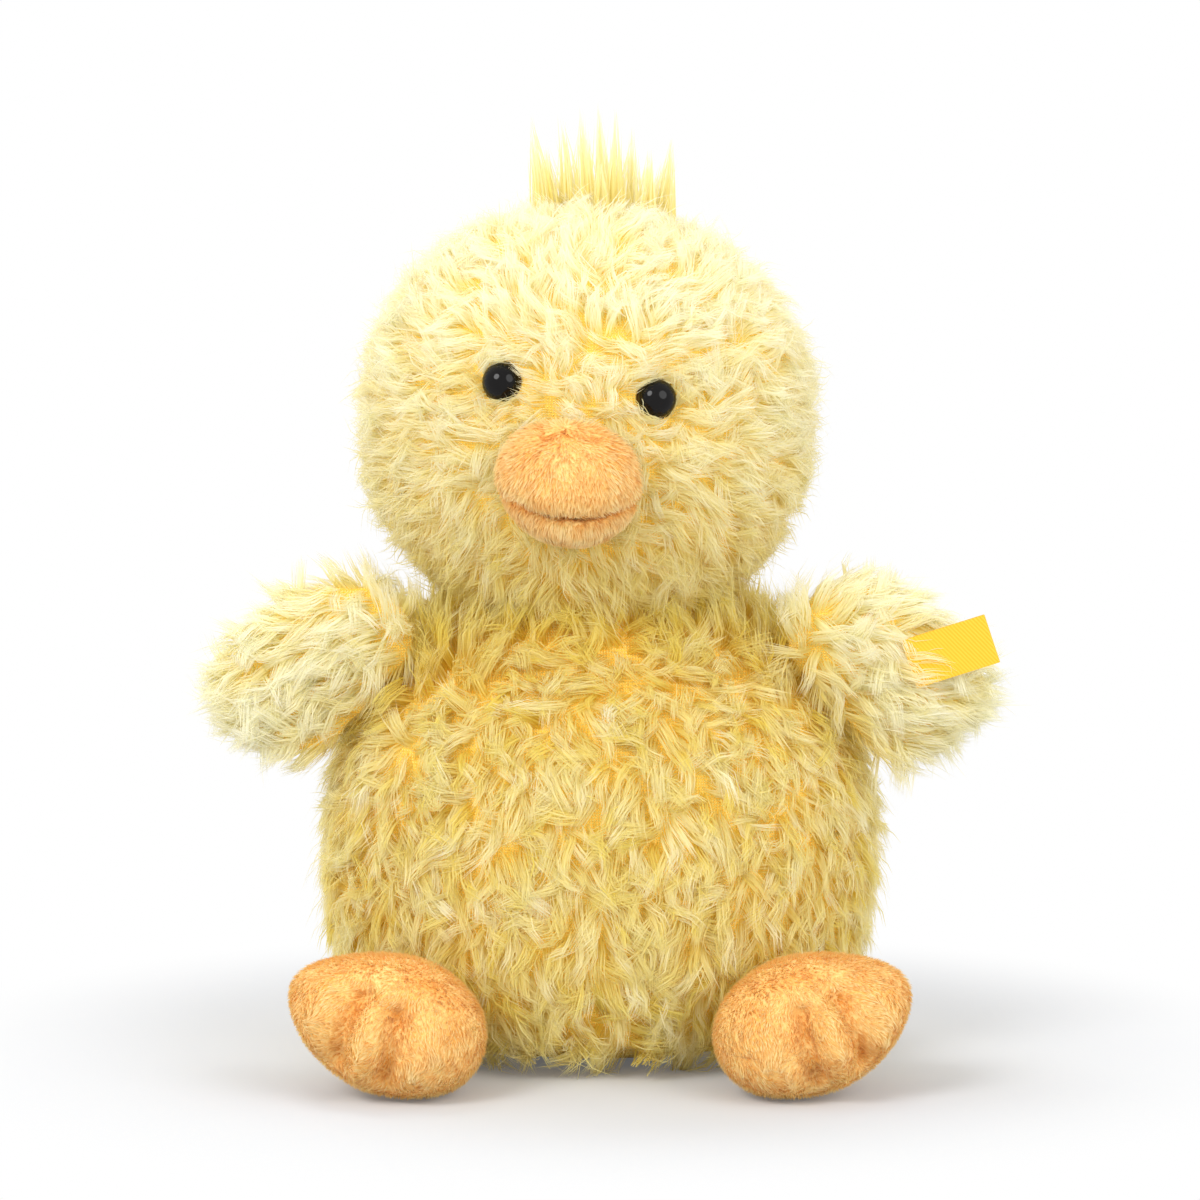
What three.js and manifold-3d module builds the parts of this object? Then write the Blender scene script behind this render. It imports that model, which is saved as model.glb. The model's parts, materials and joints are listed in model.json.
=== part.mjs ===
// A seated plush chick: covers of fur cloth sewn over loose fibre, with a beak and feet of
// short-pile cloth, shanked eyes, a crown tuft and a ribbon tab on the left wing.
// Millimetres, +Z up. The chick faces -Y, its own left is at +X, and the origin is the middle
// of the flat base. A fur cover is as thick as its backing with the pile pressed down.

import * as THREE from 'three';
import { mergeVertices } from 'three/addons/utils/BufferGeometryUtils.js';
import Module from 'manifold-3d';

const wasm = await Module();
wasm.setup();

const degrees = THREE.MathUtils.degToRad;

// Cloth, thread and clearances
const furCloth = 5;
const shortCloth = 1.6;
const seamGap = 0.3;
const stuffingGap = 0.5;
const threadRadius = 0.45;

// Body: widest at the waist, closing above it in the crown and below it in the keel, whose end
// is cut off flat for the seat
const bodyHalfWidth = 64;
const bodyHalfDepth = 54;
const bodyCrown = 59;
const bodyKeel = 55;
const bodyFullness = 2.62;
const seatCut = 9;
const sideSeam = 20;
const baseHem = 7;
const pelletRadius = 30;
const pelletHeight = 13;
const pelletFullness = 3;

// Neck: a ball of firm fibre that the head turns, tilts and nods on
const neckRadius = 28;
const neckSink = 1;
const neckShift = -2;
const neckSlack = 1.8;
const neckThreadAngle = degrees(58);

// Head, set on the neck with the turn and tilt that it has at rest
const headHalfWidth = 52;
const headHalfDepth = 47;
const headCrown = 48;
const headKeel = 48;
const headFullness = 2.15;
const headSink = 4.4;
const headShift = -1;
const headForward = 3;
const headTurn = degrees(-3.6);
const headTilt = degrees(6);

// Eyes: a dome on a flange, with a ribbed shank locked by a washer behind the cloth
const eyeSpacing = 36.3;
const eyeHeight = 9;
const eyeRadius = 4.6;
const eyeDome = 3.6;
const eyeFlange = 0.8;
const eyeSeatDepth = 3;
const shankRadius = 1.9;
const shankLength = 9;
const shankRibs = 3;
const shankRibDepth = 0.35;
const washerRadius = 5.6;
const washerThickness = 1.2;
const washerBacking = 2;

// Beak, on the face below the eyes: the lower half hangs under the upper one
const beakHeight = -11;
const upperBeakHalfWidth = 17;
const upperBeakReach = 18;
const upperBeakCrown = 14;
const upperBeakKeel = 9;
const lowerBeakHalfWidth = 14.5;
const lowerBeakReach = 13;
const lowerBeakCrown = 7;
const lowerBeakKeel = 8.5;
const lowerBeakDrop = 6.5;
const beakFullness = 2.2;
const beakTaper = 0.22;
const beakDroop = 2.5;

// Crown tuft: a ring of locks around a middle one
const tuftLocks = 6;
const tuftRing = 7.4;
const tuftRadius = 5.8;
const tuftLength = 26;
const tuftRoot = 7;
const tuftLean = degrees(14);

// Wings: flat paddles sewn into the body's side seams, swept back a little, whose root reaches
// into the body before the seam cuts it off
const wingSeamDrop = 16;
const wingSweep = degrees(10);
const wingRoot = 8;
const wingRise = -0.5;
const wingHalfLength = 25.5;
const wingHalfHeight = 20.5;
const wingTaper = 0.35;
const wingHalfThickness = 9;
const wingFullness = 2.2;
const wingDroop = degrees(9);
const wingHem = 0.5;
const wingHemLeast = 0.1;
const wingHemSlope = 0.62;
const wingHemDepth = 10;
const wingSwingBack = degrees(-10);
const wingSwingForward = degrees(40);

// Ribbon tab, folded double and sewn to the front of the left wing
const tabLength = 20;
const tabWidth = 11.5;
const ribbon = 0.45;
const tabLoop = 0.5;
const tabAlong = 5;
const tabAcross = 5;
const tabRise = degrees(19);
const tabLean = degrees(16);

// Feet: plump pads with three toes, sewn to the front of the body and pressed flat on the ground
const footSeamHeight = 26;
const footAzimuth = degrees(36);
const footHalfWidth = 23;
const footHalfLength = 22;
const footHalfHeight = 15.5;
const footFullness = 2.2;
const footRoot = 3;
const footRoll = degrees(19);
const footTaper = 0.38;
const footPointing = 4;
const footPress = 0.66;
const footSeamDrop = 5;
const toeSkew = degrees(-14);
const toeSpread = degrees(20);
const toeGroove = 2.6;
const toeGrooveWidth = degrees(8);
const grooveRise = 0.45;
const grooveFall = 0.35;
const stitchLow = -0.12;
const stitchHigh = 0.55;

// Facets
const bodyFacets = [28, 14];
const hollowFacets = [18, 9];
const footFacets = [34, 10];
const limbFacets = [18, 9];
const limbHollowFacets = [12, 6];
const roundSides = 14;
const neckSides = 20;
const domeSteps = 5;
const lockSides = 8;
const foldSides = 6;
const threadSides = 5;
const stitchSteps = 6;
const stitchArcSteps = 3;
const swingSteps = 4;

// Forms and places that follow from the sizes
function formOf(halfWidth, halfDepth, crown, keel, fullness) {
  return { halfWidth, halfDepth, crown, keel, fullness };
}

const body = formOf(bodyHalfWidth, bodyHalfDepth, bodyCrown, bodyKeel, bodyFullness);
const pellets = formOf(pelletRadius, pelletRadius, pelletHeight / 2, pelletHeight / 2, pelletFullness);
const head = formOf(headHalfWidth, headHalfDepth, headCrown, headKeel, headFullness);
const upperBeak = formOf(upperBeakHalfWidth, upperBeakReach, upperBeakCrown, upperBeakKeel, beakFullness);
const lowerBeak = formOf(lowerBeakHalfWidth, lowerBeakReach, lowerBeakCrown, lowerBeakKeel, beakFullness);
const footPad = formOf(footHalfWidth, footHalfLength, footHalfHeight, footHalfHeight, footFullness);
const bodyWaist = bodyKeel - seatCut;
const neckCentre = new THREE.Vector3(neckShift, 0, bodyWaist + bodyCrown - neckSink);
const wingReach = wingHalfLength - wingRoot;
const footReach = footHalfLength - footRoot;
const footLow = Math.hypot(footHalfHeight * Math.cos(footRoll), footHalfWidth * Math.sin(footRoll));
const footCentre = seamGap + footLow - footPress;

const cutReach = 1000;
const axisX = new THREE.Vector3(1, 0, 0);
const axisY = new THREE.Vector3(0, 1, 0);
const axisZ = new THREE.Vector3(0, 0, 1);

// Solids: three.js makes the shapes, and these helpers join and cut them

function solidOf(geometry) {
  const bare = geometry.clone();
  bare.deleteAttribute('normal');
  bare.deleteAttribute('uv');
  const merged = mergeVertices(bare);
  const mesh = new wasm.Mesh({
    numProp: 3,
    vertProperties: new Float32Array(merged.attributes.position.array),
    triVerts: new Uint32Array(merged.index.array),
  });
  return new wasm.Manifold(mesh);
}

function geometryOf(solid) {
  const mesh = solid.getMesh();
  const geometry = new THREE.BufferGeometry();
  geometry.setAttribute('position', new THREE.BufferAttribute(new Float32Array(mesh.vertProperties), 3));
  geometry.setIndex(new THREE.BufferAttribute(new Uint32Array(mesh.triVerts), 1));
  geometry.computeVertexNormals();
  return geometry;
}

// All of space on one side of the plane that crosses a direction at a level
function halfSpace(direction, level, side) {
  const box = new THREE.BoxGeometry(cutReach, cutReach, cutReach);
  box.translate(0, level + side * cutReach / 2, 0);
  return solidOf(box.applyQuaternion(new THREE.Quaternion().setFromUnitVectors(axisY, direction)));
}

// A geometry given in one frame, seen from another
function seenFrom(group, geometry, source = null) {
  group.updateWorldMatrix(true, false);
  const matrix = group.matrixWorld.clone().invert();
  if (source) {
    source.updateWorldMatrix(true, false);
    matrix.multiply(source.matrixWorld);
  }
  return geometry.clone().applyMatrix4(matrix);
}

// Stuffed forms: a sphere whose points are drawn out to a fuller, tapering shape

function drawnSphere([around, along], place) {
  const geometry = new THREE.SphereGeometry(1, around, along);
  geometry.rotateX(Math.PI / 2);
  const position = geometry.attributes.position;
  const direction = new THREE.Vector3();
  for (let i = 0; i < position.count; i++) {
    const point = place(direction.fromBufferAttribute(position, i));
    position.setXYZ(i, point.x, point.y, point.z);
  }
  return geometry;
}

function swell(direction, shape, inset = 0) {
  const flat = Math.hypot(direction.x, direction.y);
  const power = shape.fullness;
  const reach = (flat ** power + Math.abs(direction.z) ** power) ** (-1 / power);
  const rise = direction.z > 0 ? shape.crown : shape.keel;
  return new THREE.Vector3(
    direction.x * reach * (shape.halfWidth - inset),
    direction.y * reach * (shape.halfDepth - inset),
    direction.z * reach * (rise - inset),
  );
}

// How far the form has drawn in at a height, from 1 at its widest to 0 at its ends
function fullnessAt(shape, height) {
  const rise = height > 0 ? shape.crown : shape.keel;
  return (1 - (Math.abs(height) / rise) ** shape.fullness) ** (1 / shape.fullness);
}

function frontPoint(shape, x, height) {
  const full = fullnessAt(shape, height);
  const y = -shape.halfDepth * Math.sqrt(full ** 2 - (x / shape.halfWidth) ** 2);
  return new THREE.Vector3(x, y, height);
}

function pointAt(shape, azimuth, height) {
  const full = fullnessAt(shape, height);
  const x = shape.halfWidth * full * Math.sin(azimuth);
  return new THREE.Vector3(x, -shape.halfDepth * full * Math.cos(azimuth), height);
}

function outward(shape, point) {
  const power = shape.fullness;
  const rise = point.z > 0 ? shape.crown : shape.keel;
  const full = Math.hypot(point.x / shape.halfWidth, point.y / shape.halfDepth);
  const steep = (Math.abs(point.z) / rise) ** (power - 1) * Math.sign(point.z) / rise;
  return new THREE.Vector3(
    full ** (power - 2) * point.x / shape.halfWidth ** 2,
    full ** (power - 2) * point.y / shape.halfDepth ** 2,
    steep,
  ).normalize();
}

const chick = new THREE.Group();

function addPiece(group, name, geometry, finish) {
  const mesh = new THREE.Mesh(geometry, new THREE.MeshStandardMaterial(finish));
  mesh.name = name;
  group.add(mesh);
}

const fur = { color: '#f3e3a4', roughness: 0.95, metalness: 0 };
const plush = { color: '#f2b877', roughness: 0.9, metalness: 0 };
const fibre = { color: '#f4f1ea', roughness: 1, metalness: 0 };
const seatCloth = { color: '#efe0ae', roughness: 0.9, metalness: 0 };
const pelletCloth = { color: '#d9d4c8', roughness: 0.9, metalness: 0 };
const eyeBlack = { color: '#16110f', roughness: 0.12, metalness: 0 };
const washerWhite = { color: '#e9e7e1', roughness: 0.45, metalness: 0 };
const thread = { color: '#d99a55', roughness: 0.8, metalness: 0 };
const ribbonYellow = { color: '#f4cd45', roughness: 0.6, metalness: 0 };

// Body

function bodyForm(inset, facets = bodyFacets) {
  return drawnSphere(facets, (direction) => swell(direction, body, inset)).translate(0, 0, bodyWaist);
}

function neckBall(radius) {
  const ball = new THREE.SphereGeometry(radius, neckSides, neckSides / 2).rotateX(Math.PI / 2);
  return ball.translate(neckCentre.x, neckCentre.y, neckCentre.z);
}

// The body's socket clears the corners of the faceted ball as it turns
function makeBody() {
  const neckSocket = solidOf(neckBall((neckRadius + seamGap) / Math.cos(Math.PI / neckSides)));
  const hollow = solidOf(bodyForm(furCloth, hollowFacets)).intersect(halfSpace(axisZ, furCloth, 1));
  const cover = solidOf(bodyForm(0))
    .intersect(halfSpace(axisZ, 0, 1))
    .subtract(hollow)
    .subtract(neckSocket);
  const sides = cover.intersect(halfSpace(axisZ, baseHem + seamGap, 1));
  const front = sides.intersect(halfSpace(axisY, -sideSeam - seamGap / 2, -1));
  const back = sides.intersect(halfSpace(axisY, -sideSeam + seamGap / 2, 1));
  addPiece(chick, 'body_front_cover', geometryOf(front), fur);
  addPiece(chick, 'body_back_cover', geometryOf(back), fur);
  addPiece(chick, 'body_base_panel', geometryOf(cover.intersect(halfSpace(axisZ, baseHem, -1))), seatCloth);

  const bagCentre = furCloth + seamGap + pelletHeight / 2;
  const bagForm = (inset) => {
    const bag = drawnSphere(limbHollowFacets, (direction) => swell(direction, pellets, inset));
    return bag.translate(0, 0, bagCentre);
  };
  addPiece(chick, 'pellet_bag', bagForm(0), pelletCloth);

  const filling = solidOf(bodyForm(furCloth + stuffingGap, hollowFacets))
    .intersect(halfSpace(axisZ, furCloth + stuffingGap, 1))
    .subtract(neckSocket)
    .subtract(solidOf(bagForm(-stuffingGap)));
  addPiece(chick, 'body_stuffing', geometryOf(filling), fibre);
}

// Neck: the thread ring lies in the slack between the ball and the head

function makeNeck() {
  addPiece(chick, 'neck_stuffing', neckBall(neckRadius), fibre);
  const threadReach = neckRadius + neckSlack / 2;
  const ringRadius = threadReach * Math.sin(neckThreadAngle);
  const ring = new THREE.TorusGeometry(ringRadius, threadRadius, threadSides, neckSides);
  ring.translate(neckCentre.x, neckCentre.y, neckCentre.z + threadReach * Math.cos(neckThreadAngle));
  addPiece(chick, 'neck_thread', ring, thread);
}

// Head

const headGroup = new THREE.Group();
headGroup.position.copy(neckCentre);
headGroup.position.add(new THREE.Vector3(headShift, -headForward, headKeel - headSink));
headGroup.rotation.set(0, headTilt, headTurn);
chick.add(headGroup);

function headForm(inset, facets = bodyFacets) {
  return drawnSphere(facets, (direction) => swell(direction, head, inset));
}

// A frame on the face with its Y axis pointing straight out of the pile, at the eye's seat
function eyeFrame(side) {
  const point = frontPoint(head, side * eyeSpacing / 2, eyeHeight);
  const normal = outward(head, point);
  const frame = new THREE.Group();
  frame.position.copy(point).addScaledVector(normal, -eyeSeatDepth);
  frame.quaternion.setFromUnitVectors(axisY, normal);
  headGroup.add(frame);
  return frame;
}

function eyeShape() {
  const rim = seamGap + eyeFlange;
  const neck = shankRadius - shankRibDepth;
  const points = [new THREE.Vector2(0, -shankLength)];
  const pitch = (shankLength - furCloth) / shankRibs;
  for (let rib = 0; rib < shankRibs; rib++) {
    const level = -shankLength + rib * pitch;
    points.push(new THREE.Vector2(neck, level));
    points.push(new THREE.Vector2(shankRadius, level + pitch / 2));
  }
  points.push(new THREE.Vector2(neck, -shankLength + shankRibs * pitch));
  points.push(new THREE.Vector2(neck, seamGap));
  points.push(new THREE.Vector2(eyeRadius, seamGap));
  for (let step = 0; step <= domeSteps; step++) {
    const angle = step / domeSteps * Math.PI / 2;
    points.push(new THREE.Vector2(eyeRadius * Math.cos(angle), rim + eyeDome * Math.sin(angle)));
  }
  points[points.length - 1].x = 0;
  return new THREE.LatheGeometry(points, roundSides);
}

function pin(radius, low, high) {
  const rod = new THREE.CylinderGeometry(radius, radius, high - low, roundSides);
  return rod.translate(0, (low + high) / 2, 0);
}

function washerShape() {
  const top = -washerBacking - seamGap;
  const bore = shankRadius + seamGap;
  const outline = [
    new THREE.Vector2(bore, top - washerThickness),
    new THREE.Vector2(washerRadius, top - washerThickness),
    new THREE.Vector2(washerRadius, top),
    new THREE.Vector2(bore, top),
    new THREE.Vector2(bore, top - washerThickness),
  ];
  return new THREE.LatheGeometry(outline, roundSides);
}

function beakForm(shape, drop, inset) {
  return drawnSphere(limbFacets, (direction) => {
    const point = swell(direction, shape, inset);
    const forward = Math.max(0, -direction.y);
    point.x *= 1 - beakTaper * forward ** 2;
    point.z -= beakDroop * forward ** 2 + drop;
    return point;
  });
}

function makeBeak(headOutside) {
  const frame = new THREE.Group();
  frame.position.copy(frontPoint(head, 0, beakHeight));
  headGroup.add(frame);
  const face = solidOf(seenFrom(frame, headOutside, headGroup));
  const inside = shortCloth + stuffingGap;
  const upper = solidOf(beakForm(upperBeak, 0, 0));
  const upperHollow = solidOf(beakForm(upperBeak, 0, shortCloth));
  const upperFilling = solidOf(beakForm(upperBeak, 0, inside));
  const lower = solidOf(beakForm(lowerBeak, lowerBeakDrop, 0));
  const lowerHollow = solidOf(beakForm(lowerBeak, lowerBeakDrop, shortCloth));
  const lowerFilling = solidOf(beakForm(lowerBeak, lowerBeakDrop, inside));
  const lip = solidOf(beakForm(upperBeak, 0, -seamGap));
  const lipInside = solidOf(beakForm(upperBeak, 0, -stuffingGap));
  const upperCover = upper.subtract(upperHollow).subtract(face);
  const lowerCover = lower.subtract(lowerHollow).subtract(lip).subtract(face);
  addPiece(frame, 'beak_upper_cover', geometryOf(upperCover), plush);
  addPiece(frame, 'beak_upper_stuffing', geometryOf(upperFilling.subtract(face)), fibre);
  addPiece(frame, 'beak_lower_cover', geometryOf(lowerCover), plush);
  addPiece(frame, 'beak_lower_stuffing', geometryOf(lowerFilling.subtract(lipInside).subtract(face)), fibre);
}

function makeTuft(headOutside) {
  const frame = new THREE.Group();
  frame.position.set(0, 0, head.crown);
  headGroup.add(frame);
  const lock = () => {
    const cone = new THREE.ConeGeometry(tuftRadius, tuftLength + tuftRoot, lockSides, 1);
    return cone.rotateX(Math.PI / 2).translate(0, 0, (tuftLength - tuftRoot) / 2);
  };
  let tuft = solidOf(lock());
  for (let i = 0; i < tuftLocks; i++) {
    const turn = 2 * Math.PI * i / tuftLocks;
    const leaning = lock().rotateY(tuftLean).translate(tuftRing, 0, 0).rotateZ(turn);
    tuft = tuft.add(solidOf(leaning));
  }
  const crown = solidOf(seenFrom(frame, headOutside, headGroup));
  addPiece(frame, 'crown_tuft', geometryOf(tuft.subtract(crown)), fur);
}

function makeHead() {
  const neckSocket = solidOf(seenFrom(headGroup, neckBall(neckRadius + neckSlack)));
  const headOutside = headForm(-seamGap);
  const hollow = solidOf(headForm(furCloth, hollowFacets));
  let cover = solidOf(headForm(0)).subtract(hollow).subtract(neckSocket);
  let filling = solidOf(headForm(furCloth + stuffingGap, hollowFacets)).subtract(neckSocket);
  for (const [sideName, side] of [['left', 1], ['right', -1]]) {
    const frame = eyeFrame(side);
    const into = (geometry) => solidOf(seenFrom(headGroup, geometry, frame));
    cover = cover.subtract(into(pin(eyeRadius + seamGap, 0, cutReach)));
    cover = cover.subtract(into(pin(shankRadius + seamGap, -shankLength, cutReach)));
    cover = cover.subtract(into(pin(washerRadius + seamGap, -shankLength, -washerBacking)));
    filling = filling.subtract(into(pin(washerRadius + stuffingGap, -shankLength - stuffingGap, cutReach)));
    addPiece(frame, `eye_${sideName}`, eyeShape(), eyeBlack);
    addPiece(frame, `eye_washer_${sideName}`, washerShape(), washerWhite);
  }
  const leftHalf = cover.intersect(halfSpace(axisX, seamGap / 2, 1));
  const rightHalf = cover.intersect(halfSpace(axisX, -seamGap / 2, -1));
  addPiece(headGroup, 'head_left_cover', geometryOf(leftHalf), fur);
  addPiece(headGroup, 'head_right_cover', geometryOf(rightHalf), fur);
  addPiece(headGroup, 'head_stuffing', geometryOf(filling), fibre);
  makeBeak(headOutside);
  makeTuft(headOutside);
}

// Wings: the frame sits on the seam, and the cloth is pinched flat there and cut clear of the
// body all through the swing

function wingNarrowing(outwards) {
  return 1 - wingTaper * outwards / wingHalfLength;
}

function wingThickness(along, across, inset) {
  const reach = (Math.abs(along / (wingHalfLength - inset)) ** wingFullness
    + Math.abs(across / wingNarrowing(along) / (wingHalfHeight - inset)) ** wingFullness) ** (1 / wingFullness);
  return (wingHalfThickness - inset) * Math.sqrt(Math.max(0, 1 - reach ** 2));
}

// spread is the direction in the wing's own plane that leads straight away from its seam
function wingForm(side, spread, inset, facets) {
  return drawnSphere(facets, (direction) => {
    const flat = Math.hypot(direction.x, direction.z);
    const reach = (Math.abs(direction.x / (flat || 1)) ** wingFullness
      + Math.abs(direction.z / (flat || 1)) ** wingFullness) ** (-1 / wingFullness) || 0;
    const along = direction.x * reach * (wingHalfLength - inset);
    const across = direction.z * reach * (wingHalfHeight - inset) * wingNarrowing(side * along);
    const point = new THREE.Vector3(
      side * wingReach + along * Math.cos(wingDroop) + side * across * Math.sin(wingDroop),
      0,
      wingRise - side * along * Math.sin(wingDroop) + across * Math.cos(wingDroop),
    );
    const fromSeam = Math.max(0, point.dot(spread));
    const hem = Math.max(wingHemLeast, wingHem + wingHemSlope * fromSeam - inset);
    point.y = THREE.MathUtils.clamp(direction.y * (wingHalfThickness - inset), -hem, hem);
    return point;
  });
}

function makeTab(wing) {
  const along = new THREE.Vector3(Math.cos(tabRise) * Math.cos(tabLean), -Math.sin(tabLean),
    Math.sin(tabRise) * Math.cos(tabLean));
  const across = new THREE.Vector3(-Math.sin(tabRise), 0, Math.cos(tabRise));
  const facing = new THREE.Vector3().crossVectors(across, along);
  const half = ribbon + tabLoop / 2;
  const outline = new THREE.Shape();
  outline.moveTo(0, half);
  outline.lineTo(0, half - ribbon);
  outline.lineTo(tabLength - half, half - ribbon);
  outline.absarc(tabLength - half, 0, half - ribbon, Math.PI / 2, -Math.PI / 2, true);
  outline.lineTo(0, ribbon - half);
  outline.lineTo(0, -half);
  outline.lineTo(tabLength - half, -half);
  outline.absarc(tabLength - half, 0, half, -Math.PI / 2, Math.PI / 2, false);
  const cut = { depth: tabWidth, bevelEnabled: false, curveSegments: foldSides };
  const folded = new THREE.ExtrudeGeometry(outline, cut).translate(0, 0, -tabWidth / 2);

  const frame = new THREE.Group();
  const thick = wingThickness(tabAlong, tabAcross, 0);
  frame.position.set(
    wingReach + tabAlong * Math.cos(wingDroop) + tabAcross * Math.sin(wingDroop),
    -thick - half - seamGap,
    wingRise - tabAlong * Math.sin(wingDroop) + tabAcross * Math.cos(wingDroop),
  );
  frame.setRotationFromMatrix(new THREE.Matrix4().makeBasis(along, facing, across));
  wing.add(frame);
  addPiece(frame, 'label_tab', folded, ribbonYellow);
}

function makeWing(sideName, side) {
  const height = bodyCrown - wingSeamDrop;
  const azimuth = Math.acos(sideSeam / (body.halfDepth * fullnessAt(body, height)));
  const seam = pointAt(body, side * azimuth, height);
  const normal = outward(body, seam);
  const wing = new THREE.Group();
  wing.position.copy(seam).addScaledVector(normal, seamGap);
  wing.position.z += bodyWaist;
  wing.rotation.z = side * wingSweep;
  chick.add(wing);
  const seamLine = new THREE.Vector3().crossVectors(axisY, normal).normalize();
  seamLine.applyAxisAngle(axisZ, -wing.rotation.z);
  const spread = new THREE.Vector3().crossVectors(seamLine, axisY).normalize();
  spread.multiplyScalar(side * Math.sign(spread.x));

  const hollow = solidOf(wingForm(side, spread, furCloth, limbHollowFacets));
  let cover = solidOf(wingForm(side, spread, 0, limbFacets)).subtract(hollow);
  for (let step = 0; step <= swingSteps; step++) {
    const swing = THREE.MathUtils.lerp(wingSwingBack, wingSwingForward, step / swingSteps);
    const bodySide = seenFrom(wing, bodyForm(-seamGap));
    bodySide.applyQuaternion(new THREE.Quaternion().setFromAxisAngle(seamLine, -swing));
    cover = cover.subtract(solidOf(bodySide));
  }
  const front = cover.intersect(halfSpace(axisY, -seamGap / 2, -1));
  const back = cover.intersect(halfSpace(axisY, seamGap / 2, 1));
  addPiece(wing, `wing_${sideName}_front_cover`, geometryOf(front), fur);
  addPiece(wing, `wing_${sideName}_back_cover`, geometryOf(back), fur);
  const filling = solidOf(wingForm(side, spread, furCloth + stuffingGap, limbHollowFacets))
    .intersect(halfSpace(spread, wingHemDepth, 1));
  addPiece(wing, `wing_${sideName}_stuffing`, geometryOf(filling), fibre);
  if (side > 0) makeTab(wing);
}

// Feet: the frame sits on the seam, facing straight out of the body

function toeGrooves(azimuth, level) {
  const drawn = (centre) => Math.exp(-(((azimuth - centre) / toeGrooveWidth) ** 2));
  const lines = drawn(toeSkew - toeSpread) + drawn(toeSkew + toeSpread);
  const rise = THREE.MathUtils.smoothstep(level, stitchLow - grooveRise, stitchLow);
  const fall = 1 - THREE.MathUtils.smoothstep(level, stitchHigh, stitchHigh + grooveFall);
  return toeGroove * lines * rise * fall;
}

function footPoint(direction, side, inset) {
  const azimuth = Math.atan2(side * direction.x, -direction.y);
  const point = swell(direction, footPad, inset + toeGrooves(azimuth, direction.z));
  const outer = Math.max(0, side * direction.x);
  point.x += side * footPointing * outer ** 3;
  point.z *= 1 - footTaper * outer ** 2;
  point.applyAxisAngle(axisY, -side * footRoll);
  point.y -= footReach;
  point.z += footCentre - footSeamHeight;
  return point;
}

function footForm(side, inset, facets) {
  return drawnSphere(facets, (direction) => footPoint(direction, side, inset));
}

// A stitch lies in the cloth along the bottom of its groove
function toeStitch(side, azimuth, radius) {
  const points = [];
  for (let step = 0; step <= stitchSteps; step++) {
    const level = THREE.MathUtils.lerp(stitchLow, stitchHigh, step / stitchSteps);
    const flat = Math.sqrt(1 - level ** 2);
    const direction = new THREE.Vector3(side * flat * Math.sin(azimuth), -flat * Math.cos(azimuth), level);
    points.push(footPoint(direction, side, 0));
  }
  const section = new THREE.Shape();
  section.absarc(0, 0, radius, 0, 2 * Math.PI, false);
  const path = new THREE.CatmullRomCurve3(points);
  const laid = { steps: 2 * stitchSteps, curveSegments: stitchArcSteps, extrudePath: path };
  return new THREE.ExtrudeGeometry(section, laid);
}

function makeFoot(sideName, side) {
  const seam = pointAt(body, side * footAzimuth, footSeamHeight - bodyWaist);
  const normal = outward(body, seam);
  const foot = new THREE.Group();
  foot.position.copy(seam);
  foot.position.z = footSeamHeight;
  foot.rotation.z = Math.atan2(normal.x, -normal.y);
  chick.add(foot);
  const bodySide = solidOf(seenFrom(foot, bodyForm(-seamGap)));
  const ground = seamGap - footSeamHeight;
  const aboveGround = halfSpace(axisZ, ground, 1);
  const insideGround = halfSpace(axisZ, ground + shortCloth, 1);
  const hollow = solidOf(footForm(side, shortCloth, limbHollowFacets)).intersect(insideGround);
  let cover = solidOf(footForm(side, 0, footFacets))
    .intersect(aboveGround)
    .subtract(hollow)
    .subtract(bodySide);
  const lines = { inner: toeSkew - toeSpread, outer: toeSkew + toeSpread };
  for (const [line, azimuth] of Object.entries(lines)) {
    addPiece(foot, `foot_${sideName}_toe_stitch_${line}`, toeStitch(side, azimuth, threadRadius), thread);
    cover = cover.subtract(solidOf(toeStitch(side, azimuth, threadRadius + seamGap)));
  }
  const split = footCentre - footSeamHeight - footSeamDrop;
  const upper = cover.intersect(halfSpace(axisZ, split + seamGap / 2, 1));
  const sole = cover.intersect(halfSpace(axisZ, split - seamGap / 2, -1));
  addPiece(foot, `foot_${sideName}_upper_cover`, geometryOf(upper), plush);
  addPiece(foot, `foot_${sideName}_sole_cover`, geometryOf(sole), plush);
  const filling = solidOf(footForm(side, shortCloth + stuffingGap, limbHollowFacets))
    .intersect(halfSpace(axisZ, ground + shortCloth + stuffingGap, 1))
    .subtract(bodySide);
  addPiece(foot, `foot_${sideName}_stuffing`, geometryOf(filling), fibre);
}

makeBody();
makeNeck();
makeHead();
for (const [sideName, side] of [['left', 1], ['right', -1]]) {
  makeWing(sideName, side);
  makeFoot(sideName, side);
}

export default chick;
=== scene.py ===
# %% [markdown]
# A plush chick. Two cloths make it: a long wavy pile, pale yellow, on the body, head and wings, and
# a short peach pile on the beak and feet. The CAD solids give the size and place of every piece.
# This script sews a skin over each of them, stuffs it, and plants the pile on it strand by strand.
# Real strands cost triangles, but a pile that is only painted on shows a smooth edge against the
# white background, and the wispy edge is what makes this toy look soft.

# %% Load the frame
import json
import math
from collections import namedtuple

import bmesh
import bpy
import numpy as np
from mathutils import Matrix, Vector, noise
from mathutils.bvhtree import BVHTree
from mathutils.kdtree import KDTree

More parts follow.
